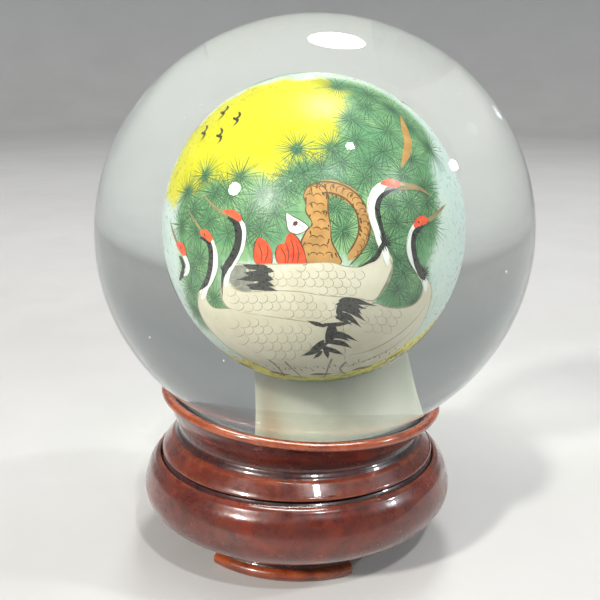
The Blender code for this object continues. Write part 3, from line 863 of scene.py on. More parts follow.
def make_flowers():
    red, dark, white = Paint(), Paint(), Paint()
    red.fill(TULIP_1, 4.0, 0.4)
    red.fill(TULIP_2, 4.0, 0.4)
    for base, tip in (((-22.6, -15), (-24.4, -6)), ((-21.6, -15), (-20.0, -7.5)), ((-12.5, -15), (-14.6, -8)),
                      ((-9.5, -15), (-10.2, -4.5)), ((-7.5, -15), (-8.0, -6.5)), ((-11.5, -15), (-12.4, -6))):
        mid = (0.5 * (base[0] + tip[0]) + 0.9, 0.5 * (base[1] + tip[1]))
        dark.stroke([base, mid, tip], 0.13, 4.6, 0.4)
    dark.outline(TULIP_1, 0.14, 4.7, 0.6, closed=True, skip=0.3)
    dark.outline(TULIP_2, 0.14, 4.7, 0.6, closed=True, skip=0.3)
    for k in range(6):
        a = -26.5 + 1.8 * k
        dark.stroke([(a + 1, -15.5), (a - 1.6, -18 + 0.3 * k), (a - 3, -19)], 0.08, 4.3, 0.9)
    white.fill(FLOWER, 4.2, 0.2)
    for tip in ((-11.5, 4.5), (-6.0, 2.4), (-4.0, -0.5), (-8.0, -2.6), (-11.0, -0.5)):
        white.stroke([(-8.2, 1.2), tip], 0.55, 4.6, 0.1)
        dark.stroke([(-8.2, 1.2), tip], 0.06, 4.9, 0.9)
    dark.outline(FLOWER, 0.12, 4.8, 0.8, closed=True)
    dark.stroke([(-8.9, 2.0), (-7.7, 0.7)], 0.7, 5.0, 0.95)
    red.make("red_flowers", "red_paint", (0.86, 0.125, 0.045), (0.62, 0.05, 0.02), 800.0, 0.3)
    dark.make("flower_lines", "flower_line_paint", (0.16, 0.05, 0.03), (0.03, 0.03, 0.03))
    white.make("white_flower", "flower_white", (0.82, 0.84, 0.78), (0.62, 0.68, 0.62), 900.0)


# ---------------------------------------------------------------- cranes
# Outlines with the brush's width at each of their points, in millimetres.
WHITE_NECKS = (
    (NECK_A, [0.9, 1.45, 1.35, 1.15, 1.0, 0.9, 0.9, 1.2, 1.2]),
    (NECK_B, [0.7, 1.0, 1.0, 0.95, 0.85, 0.85, 1.0, 1.2]),
    (NECK_C, [0.7, 1.1, 1.15, 1.1, 0.95, 0.9, 1.1, 1.3]),
    (NECK_D, [0.7, 1.0, 1.1, 1.1, 1.0, 1.1, 1.6]),
    (NECK_E, [0.7, 1.0, 1.0, 0.6]),
)
DARK_NECKS = (
    (DARK_A, [0.35, 0.55, 0.7, 0.75, 0.6, 0.5, 0.55, 0.7, 0.7, 0.45, 0.25]),
    (DARK_B, [0.5, 0.95, 0.9, 0.85, 0.95, 1.2, 0.8]),
    (DARK_C, [0.5, 1.0, 1.1, 1.15, 1.1, 1.1, 0.9, 0.4, 0.2]),
    (DARK_D, [0.4, 0.8, 0.85, 0.9, 0.85, 0.75, 0.4]),
    (DARK_E, [0.4, 0.7, 0.7, 0.5]),
)
# Beaks: outline, widths, layer and tone.
BEAKS = (
    (BEAK_A, [0.55, 0.5, 0.4, 0.18], 9.4, 0.3),
    (BEAK_A2, [0.4, 0.35, 0.3, 0.15], 9.5, 0.8),
    (BEAK_B, [0.65, 0.5, 0.2], 9.4, 0.5),
    (BEAK_C, [0.45, 0.35, 0.14], 9.4, 0.5),
    (BEAK_D, [0.4, 0.3, 0.14], 9.4, 0.5),
    (BEAK_E, [0.4, 0.3, 0.14], 9.4, 0.5),
)
EYES = ((34.6, 17.9), (46.3, 2.6), (-37.6, 3.9), (-50.6, -3.6), (-67.4, -10.6))
NECK_TAPER = (0.12, 0.12)
BEAK_TAPER = (0.0, 0.2)
LEG_WIDTHS = [0.36, 0.26, 0.2]
BACK_TAIL_LOW = -29  # Feathers whose root lies below this belong to the cranes in front.


def draw_tail(ink, feathers):
    for number, (knots, width) in feathers:
        ink.stroke(knots, [0.55 * width, 0.85 * width, 0.08], 10.0 + 0.03 * number, None, taper=(0.1, 0.3))


def draw_eye(ink, a, b):
    ink.stroke([(a - 0.5, b), (a + 0.5, b)], 0.32, 10.6, 0.1)


def draw_leg(grey, knots, layer, toes, drop, toe_layer, toe_tone, **taper):
    """A leg with its toes spread from the last of its knots."""
    grey.stroke(knots, LEG_WIDTHS, layer, 1.0, **taper)
    foot = knots[-1]
    for spread in toes:
        grey.stroke([foot, (foot[0] + spread, foot[1] - drop)], 0.18, toe_layer, toe_tone)


def make_cranes():
    white, cream, line, ink = Paint(), Paint(), Paint(), Paint()
    grey, red, beak = Paint(), Paint(), Paint()
    bodies = [(BODY_A, 5.5), (BODY_C, 6.2), (BODY_B, 6.9), (BODY_D, 7.6)]
    for shape, layer in bodies:
        cream.fill(shape, layer, 0.35)
        line.outline(shape, 0.16, layer + 0.5, 0.45, closed=True, skip=0.12)
    feathers_a = [p for p in BODY_A if p[0] < 24]
    scales(line, feathers_a, 6.0, (0.064, 0.054))
    scales(line, [p for p in BODY_C if p[0] < 14], 6.7, (0.064, 0.054))
    scales(line, [(-52, -40), (-40, -39), (-20, -40), (1, -42), (-1, -58), (-10, -68), (-25, -70),
                  (-42, -58)], 8.1, (0.066, 0.052))
    scales(line, [(18, -37), (30, -35.5), (40, -37), (44, -42), (36, -52), (24, -50)], 7.4, (0.062, 0.050))
    # Lines of the breasts and of the folded wings.
    for knots, layer in (
        ([(30, -10), (33.5, -17), (31, -26), (26.5, -31.5)], 6.1),
        ([(-42, -22), (-43.5, -33), (-38, -38.5), (-20, -39.8), (1, -41.8)], 6.8),
        ([(-55, -30), (-60, -38), (-59, -50), (-50, -62), (-36, -71), (-18, -79)], 8.2),
        ([(52, -28), (48.5, -35.5), (38, -36.5), (27, -33)], 7.5),
        ([(15, -62), (28, -60), (40, -54), (50, -46), (57, -36)], 7.5),
        ([(12, -72), (26, -68), (40, -62), (52, -52)], 7.5),
    ):
        line.stroke(knots, 0.20, layer, 0.75, wave=0.25)
    for k in range(9):
        a = -50 + 8 * k
        line.stroke([(a, -66 - 0.8 * k % 5), (a + 5, -69 - k % 3), (a + 11, -70)], 0.09, 8.2, 0.2, wave=0.4)
    # Soft shade under the small tail and along the lower breasts.
    grey.fill([(-38, -17.5), (-30, -16.5), (-27.5, -19), (-26.5, -23), (-27.5, -27.5), (-32, -28.3),
               (-37, -26.5), (-39, -22.5)], 5.8, 0.7)
    grey.stroke([(-35.5, 5.5), (-33.0, 2.5), (-31.4, -2.0)], 0.5, 8.9, 0.4)
    for knots, widths in WHITE_NECKS:
        white.stroke(knots, widths, 9.0, 0.2, taper=NECK_TAPER)
        line.stroke([(a - 1.3, b - 0.4) for a, b in knots[1:]], 0.10, 9.4, 0.7, taper=(0.3, 0.3))
    for knots, widths in DARK_NECKS:
        ink.stroke(knots, widths, 9.7, 0.25, taper=(0.15, 0.15))
    # Ragged feathers where a dark neck meets the breast.
    for at, reach in (((50.5, -21.0), 4.5), ((28.6, -6.5), 4.0), ((-41.5, -19.5), 3.0)):
        for k in range(11):
            f = math.radians(-80 + 200 * k / 10) + RNG.uniform(-0.1, 0.1)
            tip = (at[0] + reach * math.cos(f), at[1] + reach * math.sin(f))
            ink.stroke([at, tip], 0.20, 9.8, 0.5, taper=(0.0, 0.8))
    draw_tail(ink, enumerate(TAIL_FEATHERS))
    white.stroke([(6.0, -54.5), (8.0, -53.8)], 0.6, 10.9, 0.0)
    for shape in (CROWN_A, CROWN_B, CROWN_C, CROWN_D, CROWN_E):
        red.fill(shape, 10.0, 0.3, grid=1.4)
    grey.fill([(28.8, 14.5), (30.5, 17.4), (33.8, 18.2), (36.0, 17.4), (33.4, 14.8), (30.6, 13.4)], 9.3, 0.7,
              grid=1.3)
    for a, b in EYES:
        draw_eye(ink, a, b)
    for knots, widths, layer, tone in BEAKS:
        beak.stroke(knots, widths, layer, tone, taper=BEAK_TAPER)
    for knots in (LEG_1, LEG_2, LEG_3, LEG_4):
        draw_leg(grey, knots, 8.6, (-4.0, -1.0, 3.5), 2.2, 8.6, 0.9, taper=(0.1, 0.1))
    # Two more cranes carry the picture on round the back.
    for lon, lat, mirrored in ((162, -4, False), (-128, 2, True)):
        set_easel(about_neck(lon, lat), mirrored)
        cream.fill(BODY_A, 5.5, 0.35)
        line.outline(BODY_A, 0.16, 6.0, 0.45, closed=True, skip=0.12)
        scales(line, feathers_a, 6.0, (0.064, 0.054))
        white.stroke(*WHITE_NECKS[0], 9.0, 0.2, taper=NECK_TAPER)
        ink.stroke(*DARK_NECKS[0], 9.7, 0.25)
        draw_tail(ink, [(n, f) for n, f in enumerate(TAIL_FEATHERS) if f[0][0][1] > BACK_TAIL_LOW])
        red.fill(CROWN_A, 10.0, 0.3, grid=1.4)
        beak.stroke(*BEAKS[0], taper=BEAK_TAPER)
        draw_eye(ink, *EYES[0])
        for at in (-4, 6):
            knots = [(at, -28.5), (at - 1, -36), (at + 1, -44)]
            draw_leg(grey, knots, 5.2, (-3.5, 0.5, 4.0), 2, 5.3, 1.0)
    cream.make("crane_bodies", "crane_body_paint", (0.72, 0.68, 0.55), (0.60, 0.55, 0.40), 330.0, 0.36)
    white.make("crane_necks", "crane_white_paint", (0.84, 0.85, 0.80), (0.66, 0.70, 0.66), 700.0)
    line.make("crane_feather_lines", "feather_line_paint", (0.52, 0.46, 0.32), (0.27, 0.24, 0.18), 900.0)
    ink.make("crane_ink", "ink_paint", (0.022, 0.022, 0.020), (0.055, 0.055, 0.048), 1200.0, 0.3, 0.5)
    grey.make("crane_shades", "grey_paint", (0.38, 0.39, 0.32), (0.15, 0.16, 0.14), 700.0)
    red.make("crane_crowns", "crown_paint", (0.90, 0.15, 0.06), (0.68, 0.06, 0.03), 900.0, 0.3)
    beak.make("crane_beaks", "beak_paint", (0.42, 0.30, 0.14), (0.22, 0.17, 0.09), 900.0)


def make_ground():
    brown, grain = Paint(), Paint()
    for lon in range(-180, 180, 24):
        lift = -46.4 + 0.8 * math.sin(lon)
        dirs = [about_neck(lon + k * 2.1, lift + 0.5 * math.sin(k)) for k in range(7)]
        brown.ribbon(dirs, [MM * w for w in (0.1, 0.55, 0.8, 0.85, 0.75, 0.5, 0.1)], 8.8, 0.4)
    for k in range(420):
        lon = RNG.uniform(28, 100) if k < 300 else RNG.uniform(-180, 180)
        low = -58.0 if k < 300 else -56
        lat = low + abs(RNG.normal(0, 7.0 if k < 300 else 4.0))
        d = about_neck(lon, lat)
        size = RNG.uniform(0.10, 0.30) * MM
        across = d.orthogonal().normalized() * size / LINING_R
        grain.ribbon([(d - across).normalized(), (d + across).normalized()], [1.5 * size] * 2, 11.0, None)
    for lon in range(-180, 180, 3):
        base = -40.5 + 1.3 * math.sin(lon * 0.9)
        tip = base + RNG.uniform(1.2, 3.0)
        brown.ribbon([about_neck(lon, base), about_neck(lon + RNG.uniform(-1.5, 1.5), tip)],
                     [0.16 * MM, 0.04 * MM], 8.7, 1.0)
    brown.make("ground_marks", "earth_paint", (0.20, 0.12, 0.03), (0.16, 0.17, 0.04), 700.0)
    grain.make("ground_grains", "grain_paint", (0.78, 0.70, 0.30), (0.86, 0.84, 0.70), 2500.0, 0.25)


def make_birds():
    """A few plain birds far off in the sky."""
    ink = Paint()
    for a, b in BIRDS:
        for side in (-1, 1):
            knots = [(a, b), (a + side * 1.6, b + 1.7), (a + side * 3.8, b + 1.1), (a + side * 5.6, b - 0.4)]
            ink.stroke(knots, [0.34, 0.40, 0.30, 0.12], 4.0, 0.3, taper=(0.0, 0.4))
        ink.stroke([(a - 0.6, b - 0.2), (a + 1.5, b - 1.2)], 0.30, 4.0, 0.3)
    ink.make("sky_birds", "bird_paint", (0.03, 0.03, 0.025), (0.08, 0.08, 0.05), 1200.0)


# ---------------------------------------------------------------- neck column and plug
def make_column():
    r = NECK_R + 0.02 * MM
    top = -math.sqrt(LINING_R ** 2 - r ** 2) + 0.3 * MM
    foot = -oblate(r, GLOBE_R, GLOBE_POLAR_R) + 0.7 * MM
    rows = 60
    profile = [(r, top + (foot - top) * i / rows) for i in range(rows + 1)]
    verts, faces, _ = lathe(profile, 180, neck_place, closed=False)
    low = [(CENTRE - v).dot(NECK_UP) for v in verts]
    along = [(h - min(low)) / (max(low) - min(low)) for h in low]
    left, painted_highlight = [], []
    for v in verts:
        side = v - CENTRE
        lon = math.degrees(math.atan2(side.dot(NECK_RIGHT), side.dot(NECK_FRONT)))
        left.append(math.exp(-((lon + 62) / 18) ** 2))
        # Painted highlight: lighter on the right side of the column, where the lamps light it.
        painted_highlight.append(math.exp(-((lon - 42) / 26) ** 2))
    g = Graph("white_coat")
    cloud = g.ramp(g.noise(150.0, 5.0, 0.6, 0.5), 0.3, 0.7)
    base = g.mix(cloud, (0.50, 0.52, 0.41), (0.68, 0.69, 0.56))
    base = g.mix(g.times(g.attribute("strip"), 0.75), base, (0.40, 0.29, 0.17))
    # Painted highlight on the column's right side.
    base = g.mix(g.times(g.attribute("painted_highlight"), 0.8), base, (0.78, 0.80, 0.68))
    # Painted shadow: darker towards the top of the column, under the painted ball.
    shade = g.ramp(g.attribute("along"), 0.02, 0.45, 0.75, 0.0)
    base = g.mix(shade, base, (0.20, 0.21, 0.17))
    g.put("Base Color", base)
    g.put("Roughness", g.ramp(g.noise(700.0, 3.0), 0.3, 0.7, 0.40, 0.55))
    g.bump(g.noise(420.0, 4.0), 0.2, 0.00006)
    coat = make_object("neck_white_coat", verts, faces, g.material, "globe",
                       {"along": along, "strip": left, "painted_highlight": painted_highlight}, smooth_all=True)
    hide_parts("white_backing")


def make_plug():
    body = NECK_R - GAP
    low = PLUG_RECESS - oblate(NECK_R, GLOBE_R, GLOBE_POLAR_R)
    high = low + PLUG_LENGTH
    profile = [(0.0, high)] + arc((body - 0.8 * MM, high - 1.5 * MM), 0.8 * MM, 80, 5, 6)
    profile += arc((body - 0.3 * MM, low + 0.3 * MM), 0.3 * MM, 0, -90, 4)
    profile += arc((0.74 * body, low + 0.25 * MM), 0.25 * MM, -90, -160, 4)
    profile += arc((0.60 * body, low + 0.5 * MM), 0.3 * MM, 10, 90, 4) + [(0.0, low + 0.8 * MM)]
    verts, faces, _ = lathe(profile, 96, neck_place, closed=False)
    g = Graph("plug_plastic")
    g.put("Base Color", g.mix(g.ramp(g.noise(90.0, 4.0), 0.3, 0.7), (0.80, 0.79, 0.74), (0.66, 0.64, 0.57)))
    g.put("Roughness", g.ramp(g.noise(600.0, 4.0), 0.3, 0.7, 0.38, 0.55))
    g.bump(g.noise(1400.0, 3.0), 0.2, 0.00004)
    faces = outward(verts, faces)
    plug = make_object("mouth_plug", verts, faces, g.material, "globe", sharp=50)
    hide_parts("neck_plug")


# ---------------------------------------------------------------- stand
SEAT_R = 21.8 * MM
RING_WIDTH = 2.5 * MM
BASE_TOP_Z = 17.6 * MM
CUP_HEIGHT = 11.3 * MM
FOOT_HEIGHT, FOOT_SPAN = 4.6 * MM, math.radians(71.0)
FOOT_R, FOOT_NECK_R, FOOT_INNER_R, FOOT_BEAD_R = 22.4 * MM, 20.9 * MM, 17.6 * MM, 1.1 * MM
SHOULDER_R, SHOULDER_DROP = 27.7 * MM, 0.8 * MM
BULGE_R, BULGE_Z, BULGE_FOOT_R = 29.9 * MM, 11.0 * MM, 24.6 * MM
WELL_R, BORE_R = 19.0 * MM, 15.0 * MM
RIM_R, RIM_MOUTH_R, RIM_BEAD_R = 26.9 * MM, 25.3 * MM, 0.85 * MM
WAIST_R, BAND_TOP_R, BAND_HEIGHT, FLARE_R = 23.1 * MM, 24.0 * MM, 3.0 * MM, 26.3 * MM
SPIGOT_R, SPIGOT_LENGTH = 21.4 * MM, 3.0 * MM
RING_OUTER_R = SEAT_R + 0.5 * RING_WIDTH + 0.5 * MM
RING_INNER_R = RING_OUTER_R - RING_WIDTH
RIM_INNER_R = RING_OUTER_R + GAP
CUP_BOTTOM_Z = BASE_TOP_Z + GAP
RIM_Z = CUP_BOTTOM_Z + CUP_HEIGHT
RING_TOP_Z = RIM_Z - 2.0 * MM
LEDGE_Z = 24.954 * MM


def stand_place(point, _tag):
    return Vector((STAND_X, 0.0, 0.0)) + point


def leaning(point, tag):
    """The cup's upper parts lean to the right about the centre of its foot."""
    pivot = Vector((0.0, 0.0, CUP_BOTTOM_Z))
    turned = Matrix.Rotation(SEAT_LEAN * tag[0], 3, "Y") @ (point - pivot)
    return Vector((STAND_X, 0.0, 0.0)) + pivot + turned


def lacquer(name, seed):
    """Dark red lacquer over turned wood: mottled; orange on edges and upper faces, part wear and part painted
    highlight; painted shade, near black, in the quirks, recesses and hidden faces.
    """
    g = Graph(name)
    shift = g.node("ShaderNodeMapping")
    shift.inputs["Location"].default_value = (seed * 0.013, seed * 0.007, seed * 0.011)
    g.link(g.position(), shift.inputs["Vector"])
    at = shift.outputs["Vector"]
    mottle = g.ramp(g.noise(95.0, 6.0, 0.62, 0.9, at), 0.46, 0.68)
    fine = g.ramp(g.noise(620.0, 5.0, 0.6, 0.3, at), 0.35, 0.7)
    grain = g.node("ShaderNodeMapping")
    grain.inputs["Scale"].default_value = (90.0, 90.0, 900.0)
    g.link(at, grain.inputs["Vector"])
    lines = g.ramp(g.noise(1.0, 4.0, 0.6, 0.6, grain.outputs["Vector"]), 0.4, 0.65)
    colour = g.mix(mottle, (0.042, 0.0024, 0.0018), (0.165, 0.014, 0.0050))
    colour = g.mix(g.times(lines, 0.45), colour, (0.085, 0.006, 0.003))
    colour = g.mix(g.times(fine, 0.22), colour, (0.22, 0.030, 0.010))
    # Orange on edges and upper faces: part wear, part painted highlight.
    wear_and_highlight = g.times(g.attribute("wear_and_highlight"), g.ramp(g.noise(210.0, 5.0, 0.65, 0.4, at), 0.38, 0.62, 0.35, 1.0))
    colour = g.mix(wear_and_highlight, colour, (0.42, 0.085, 0.018))
    # Painted shade: near black in the quirks, recesses and hidden faces.
    painted_shade = g.times(g.attribute("painted_shade"), g.ramp(g.noise(300.0, 4.0, 0.6, 0.0, at), 0.3, 0.6, 0.6, 1.0))
    colour = g.mix(painted_shade, colour, (0.010, 0.003, 0.003))
    g.put("Base Color", colour)
    g.put("Roughness", g.ramp(g.noise(240.0, 5.0, 0.65, 0.0, at), 0.3, 0.75, 0.20, 0.42))
    g.put("Coat Weight", 0.9)
    g.put("Coat Roughness", g.ramp(g.noise(130.0, 4.0, 0.6, 0.0, at), 0.4, 0.75, 0.035, 0.12))
    ripple = g.noise(140.0, 3.0, 0.5, 0.0, at)
    pores = g.times(g.noise(900.0, 3.0, 0.5, 0.0, at), 0.12)
    g.bump(g.maths("ADD", ripple, pores), 0.22, 0.0006)
    return g.material


def make_cup():
    under = RIM_Z - 2.1 * RIM_BEAD_R
    band_top = CUP_BOTTOM_Z + BAND_HEIGHT
    bead = arc((RIM_R - RIM_BEAD_R, RIM_Z - RIM_BEAD_R), RIM_BEAD_R, 100, -60, 20)
    waist = smooth([
        (RIM_R - 1.1 * RIM_BEAD_R, under),
        (0.6 * WAIST_R + 0.4 * RIM_R, 0.65 * under + 0.35 * band_top),
        (WAIST_R, 0.25 * under + 0.75 * band_top),
        (BAND_TOP_R - 0.3 * MM, band_top + 0.35 * MM)], 14)
    # Bead lighter on its upper half: part wear, part painted highlight.
    rows = [(x, z, 1.0, 0.75 if z > RIM_Z - 1.2 * MM else 0.25, 0.0) for x, z in bead]
    for x, z in waist:
        share = (z - CUP_BOTTOM_Z) / (under - CUP_BOTTOM_Z)
        # Painted shade in the creases under the bead and above the band, and low in the waist's hollow.
        near_bead = max(0.0, 1 - abs(z - under) / (0.9 * MM))
        near_band = max(0.0, 1 - abs(z - band_top - 0.4 * MM) / (0.7 * MM))
        depth = min(1.0, max(0.0, (0.62 - (z - band_top) / (under - band_top)) / 0.5))
        rows.append((x, z, share, 0.0, min(1.0, max(0.8 * near_bead, 0.85 * near_band, 0.72 * depth))))
    band = [(BAND_TOP_R, band_top), (BAND_TOP_R + 0.25 * MM, band_top - 0.12 * MM)]
    band += [(BAND_TOP_R + 0.25 * MM + (FLARE_R - 0.45 * MM - BAND_TOP_R) * t,
              band_top - 0.12 * MM - (BAND_HEIGHT - 0.95 * MM) * t) for t in (0.15, 0.3, 0.5, 0.7, 0.85, 1.0)]
    # Top of the band lighter: part wear, part painted highlight.
    for i, (x, z) in enumerate(band):
        share = (z - CUP_BOTTOM_Z) / (under - CUP_BOTTOM_Z)
        rows.append((x, z, share, 0.5 if i < 3 else 0.22, 0.0))
    low = arc((FLARE_R - 0.45 * MM, CUP_BOTTOM_Z + 0.45 * MM), 0.45 * MM, 50, -90, 8)
    rows += [(x, z, 0.0, 0.35 if z > CUP_BOTTOM_Z + 0.4 * MM else 0.0,
              0.0 if z > CUP_BOTTOM_Z + 0.35 * MM else 1.0) for x, z in low]
    foot_z = CUP_BOTTOM_Z - SPIGOT_LENGTH
    # Painted shade on the spigot, in the well and inside the rim.
    rows += [(SPIGOT_R, CUP_BOTTOM_Z, 0.0, 0.0, 1.0), (SPIGOT_R, foot_z, 0.0, 0.0, 0.6)]
    rows += [(WELL_R, foot_z, 0.0, 0.0, 0.6)]
    rows += [(WELL_R, LEDGE_Z - 2.2 * MM, 1.0, 0.0, 0.5), (RING_INNER_R - 0.6 * MM, LEDGE_Z, 1.0, 0.0, 0.5)]
    rows += [(RIM_INNER_R, LEDGE_Z, 1.0, 0.0, 0.9), (RIM_INNER_R, RING_TOP_Z, 1.0, 0.0, 0.7)]
    rows += [(RIM_INNER_R + (RIM_MOUTH_R - RIM_INNER_R) * t, RING_TOP_Z + (RIM_Z - 0.3 * MM - RING_TOP_Z) * t,
              1.0, 0.3 * t, 0.4 * (1 - t)) for t in (0.4, 0.8, 1.0)]
    verts, faces, extra = lathe(rows, 200, leaning)
    faces = outward(verts, faces)
    cup = make_object("cup", verts, faces, lacquer("lacquer_cup", 3), "stand",
                      {"wear_and_highlight": [e[1] for e in extra], "painted_shade": [e[2] for e in extra]}, sharp=50)
    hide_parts("stand_cup")


def make_base():
    under = FOOT_HEIGHT + GAP
    shoulder_z = BASE_TOP_Z - SHOULDER_DROP
    curve = smooth([
        (SHOULDER_R, shoulder_z),
        (BULGE_R - 0.9 * MM, 0.65 * shoulder_z + 0.35 * BULGE_Z),
        (BULGE_R, BULGE_Z),
        (BULGE_R - 1.25 * MM, 0.5 * (BULGE_Z + under)),
        (BULGE_FOOT_R, under)], 16)
    # The quirk under the cup, then the rounded shoulder: past the cup's flare, below the top, wear and painted
    # highlight, painted shade.
    quirk = ((-0.5, 0.0, 0.0, 0.8), (-0.25, -0.35, 0.0, 0.7), (0.0, -0.5, 0.0, 0.7), (0.25, -0.38, 0.1, 0.4),
             (0.5, -0.22, 0.5, 0.1), (0.95, -0.42, 0.3, 0.0))
    rows = [(FLARE_R + out * MM, BASE_TOP_Z + down * MM, wear_and_highlight, painted_shade) for out, down, wear_and_highlight, painted_shade in quirk]
    for x, z in curve:
        # Painted shade low on the bulge, where it meets the feet.
        low = max(0.0, 1 - (z - under) / (1.2 * MM))
        rows.append((x, z, 0.12, 0.7 * low))
    socket_z = CUP_BOTTOM_Z - SPIGOT_LENGTH - GAP
    # Painted shade in the bore and the socket.
    rows += [(BORE_R, under, 0.0, 0.8), (BORE_R, socket_z, 0.0, 0.8), (SPIGOT_R + GAP, socket_z, 0.0, 0.9),
             (SPIGOT_R + GAP, BASE_TOP_Z, 0.0, 1.0)]
    verts, faces, extra = lathe(rows, 200, stand_place)
    faces = outward(verts, faces)
    base = make_object("base", verts, faces, lacquer("lacquer_base", 11), "stand",
                       {"wear_and_highlight": [e[0] for e in extra], "painted_shade": [e[1] for e in extra]}, sharp=50)
    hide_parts("stand_base")


def make_feet():
    span, outer, neck, inner, bead = FOOT_SPAN, FOOT_R, FOOT_NECK_R, FOOT_INNER_R, FOOT_BEAD_R
    # Foot's bead lighter on its upper half: part wear, part painted highlight.
    section = [(p[0], p[1], 0.8 if p[1] > 1.5 * MM else 0.55, 0.0)
               for p in arc((outer - bead, bead), bead, -90, 80, 18)]
    cove = smooth([(outer - 1.0 * bead, 2.15 * bead), (neck, 0.5 * (2.15 * bead + FOOT_HEIGHT)),
                   (neck + 0.9 * MM, FOOT_HEIGHT)], 10)
    # Painted shade in the cove and on the inner faces.
    section += [(x, z, 0.0, 0.55) for x, z in cove]
    section += [(inner + 0.3 * MM, FOOT_HEIGHT, 0.0, 0.6), (inner, FOOT_HEIGHT - 0.3 * MM, 0.0, 0.6),
                (inner, 0.3 * MM, 0.0, 0.5), (inner + 0.3 * MM, 0.0, 0.0, 0.5)]
    middle = (sum(p[0] for p in section) / len(section), sum(p[1] for p in section) / len(section))
    for number, name in enumerate(("foot_front", "foot_right", "foot_left")):
        azimuth = math.radians(-8.0 + 120.0 * number)
        verts, faces, wear_and_highlight, painted_shade = [], [], [], []
        steps = 60
        turns = [(-0.5 * span, 0.88), (-0.5 * span + 0.0035, 0.955), (-0.5 * span + 0.012, 0.99)]
        turns += [(-0.5 * span + 0.02 + (span - 0.04) * i / steps, 1.0) for i in range(steps + 1)]
        turns += [(0.5 * span - 0.012, 0.99), (0.5 * span - 0.0035, 0.955), (0.5 * span, 0.88)]
        n = len(section)
        for t, shrink in turns:
            for x, z, w, d in section:
                rx = middle[0] + (x - middle[0]) * shrink
                rz = middle[1] + (z - middle[1]) * shrink if shrink < 1 else z
                rz = max(0.0, rz)
                a = azimuth + t
                verts.append(Vector((STAND_X + rx * math.sin(a), -rx * math.cos(a), rz)))
                # Rounded ends lighter: part wear, part painted highlight.
                wear_and_highlight.append(w if shrink == 1 else 0.8)
                painted_shade.append(d)
        for i in range(len(turns) - 1):
            for k in range(n):
                m = (k + 1) % n
                faces.append((i * n + k, i * n + m, (i + 1) * n + m, (i + 1) * n + k))
        faces.append(tuple(reversed(range(n))))
        faces.append(tuple(range((len(turns) - 1) * n, len(turns) * n)))
        faces = outward(verts, faces)
        wood = lacquer("lacquer_" + name, 20 + number)
        foot = make_object(name + "_bracket", verts, faces, wood, "stand",
                           {"wear_and_highlight": wear_and_highlight, "painted_shade": painted_shade}, sharp=50)
        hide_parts(name)


def make_felt():
    """Felt ring, pressed to the underside of the ball where the ball lies on it."""
    pivot = Vector((STAND_X, 0.0, CUP_BOTTOM_Z))
    lean = Matrix.Rotation(SEAT_LEAN, 3, "Y")
    up = lean @ Vector((0, 0, 1))
    low = LEDGE_Z + 0.02 * MM - CUP_BOTTOM_Z
    to_neck = NECK_FRAME.transposed()

    def under_ball(x, y):
        """Height along the seat's axis at which the ball's underside lies above a point of the seat."""
        start = to_neck @ (pivot + lean @ Vector((x, y, 0.0)) - CENTRE)
        ray = to_neck @ up
        s = Vector((1 / GLOBE_R, 1 / GLOBE_R, 1 / GLOBE_POLAR_R))
        p = Vector((start.x * s.x, start.y * s.y, start.z * s.z))
        d = Vector((ray.x * s.x, ray.y * s.y, ray.z * s.z))
        a, b, c = d.dot(d), 2 * p.dot(d), p.dot(p) - 1
        return (-b - math.sqrt(b * b - 4 * a * c)) / (2 * a)

    verts, faces = [], []
    steps, crown = 240, 10
    top = RING_TOP_Z + 0.75 * MM - CUP_BOTTOM_Z
    for i in range(steps):
        t = 2 * math.pi * i / steps
        fuzz = 0.05 * math.sin(23 * t) + 0.04 * math.sin(57 * t + 1)
        row = [(RING_OUTER_R - 0.15 * MM, low), (RING_INNER_R + 0.15 * MM, low)]
        row += [(RING_INNER_R, low + 0.25 * MM)]
        for k in range(crown + 1):
            r = RING_INNER_R + (RING_OUTER_R - RING_INNER_R) * k / crown
            x, y = r * math.sin(t), -r * math.cos(t)
            height = min(under_ball(x, y) - 0.03 * MM, top + fuzz * 0.3 * MM)
            if k in (0, crown):
                height -= 0.25 * MM
            row.append((r, height))
        for r, z in row:
            verts.append(pivot + lean @ Vector((r * math.sin(t), -r * math.cos(t), z)))
    n = len(row)
    for i in range(steps):
        j = (i + 1) % steps
        for k in range(n):
            m = (k + 1) % n
            faces.append((i * n + k, i * n + m, j * n + m, j * n + k))
    g = Graph("felt")
    fibres = g.ramp(g.noise(900.0, 5.0, 0.7), 0.35, 0.65)
    g.put("Base Color", g.mix(fibres, (0.020, 0.018, 0.018), (0.060, 0.054, 0.052)))
    g.put("Roughness", g.ramp(g.noise(600.0, 3.0), 0.3, 0.7, 0.88, 0.98))
    g.put("Sheen Weight", 0.12)
    g.bump(g.noise(2600.0, 5.0, 0.75), 0.8, 0.00018)
    ring = make_object("felt_ring", verts, outward(verts, faces), g.material, "seat", sharp=60)
    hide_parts("seat_ring")


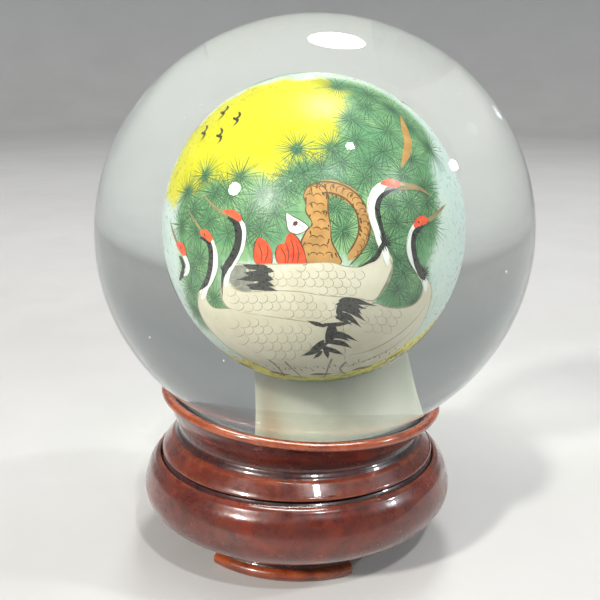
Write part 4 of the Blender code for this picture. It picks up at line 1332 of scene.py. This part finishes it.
# ---------------------------------------------------------------- stage, light and camera
def make_stage():
    g = Graph("floor_paper")
    paper = g.mix(g.ramp(g.noise(12.0, 4.0), 0.3, 0.7), (0.60, 0.59, 0.57), (0.64, 0.63, 0.61))
    g.put("Base Color", g.mix(g.attribute("rise"), paper, (0.46, 0.47, 0.48)))
    g.put("Roughness", g.ramp(g.noise(60.0, 3.0), 0.3, 0.7, 0.55, 0.7))
    profile = [(0.0, 0.0), (0.2, 0.0), (0.5, 0.0), (1.0, 0.0)]
    profile += arc((1.0, 0.5), 0.5, -84, 0, 14)
    profile += [(1.5, 0.9), (1.5, 1.4)]
    verts, faces, _ = lathe(profile, 96, lambda point, tag: point, closed=False)
    rise = [min(1.0, max(0.0, v.z / 0.35)) for v in verts]
    floor = make_object("studio_floor", verts, faces, g.material, None, attributes={"rise": rise},
                        smooth_all=True)
    world = bpy.data.worlds.new("studio")
    bpy.context.scene.world = world
    world.use_nodes = True
    sky = world.node_tree.nodes["Background"]
    sky.inputs["Color"].default_value = (0.80, 0.86, 0.95, 1.0)
    sky.inputs["Strength"].default_value = 0.30


def lamp(name, at, size, power, colour):
    data = bpy.data.lights.new(name, "AREA")
    data.shape = "DISK"
    data.size = size
    data.energy = power
    data.color = colour
    obj = bpy.data.objects.new(name, data)
    bpy.context.scene.collection.objects.link(obj)
    obj.location = at
    aim = CENTRE - Vector(at)
    obj.rotation_mode = "QUATERNION"
    obj.rotation_quaternion = aim.to_track_quat("-Z", "Y")


def make_lights():
    for name, direction, away, size, power, colour in LAMPS:
        lamp(name, CENTRE + Vector(direction).normalized() * away, size, power, colour)


def make_camera():
    data = bpy.data.cameras.new("camera")
    data.lens = 54.0
    data.sensor_width = 36.0
    data.clip_start = 0.01
    data.clip_end = 20.0
    cam = bpy.data.objects.new("camera", data)
    bpy.context.scene.collection.objects.link(cam)
    cam.location = CENTRE + Vector((-2.5, -165.1, 30.9)) * MM
    turn = Matrix.Rotation(math.radians(75.0), 3, "X") @ Matrix.Rotation(math.radians(0.3), 3, "Z")
    cam.rotation_mode = "QUATERNION"
    cam.rotation_quaternion = turn.to_quaternion()
    bpy.context.scene.camera = cam


make_glass()
make_bubbles()
make_lining()
needle_fans()
make_tree()
make_flowers()
make_cranes()
make_ground()
make_birds()
make_column()
make_plug()
make_cup()
make_base()
make_feet()
make_felt()
make_stage()
make_lights()
make_camera()
bpy.context.scene.view_settings.view_transform = "Standard"

bpy.context.view_layer.update()
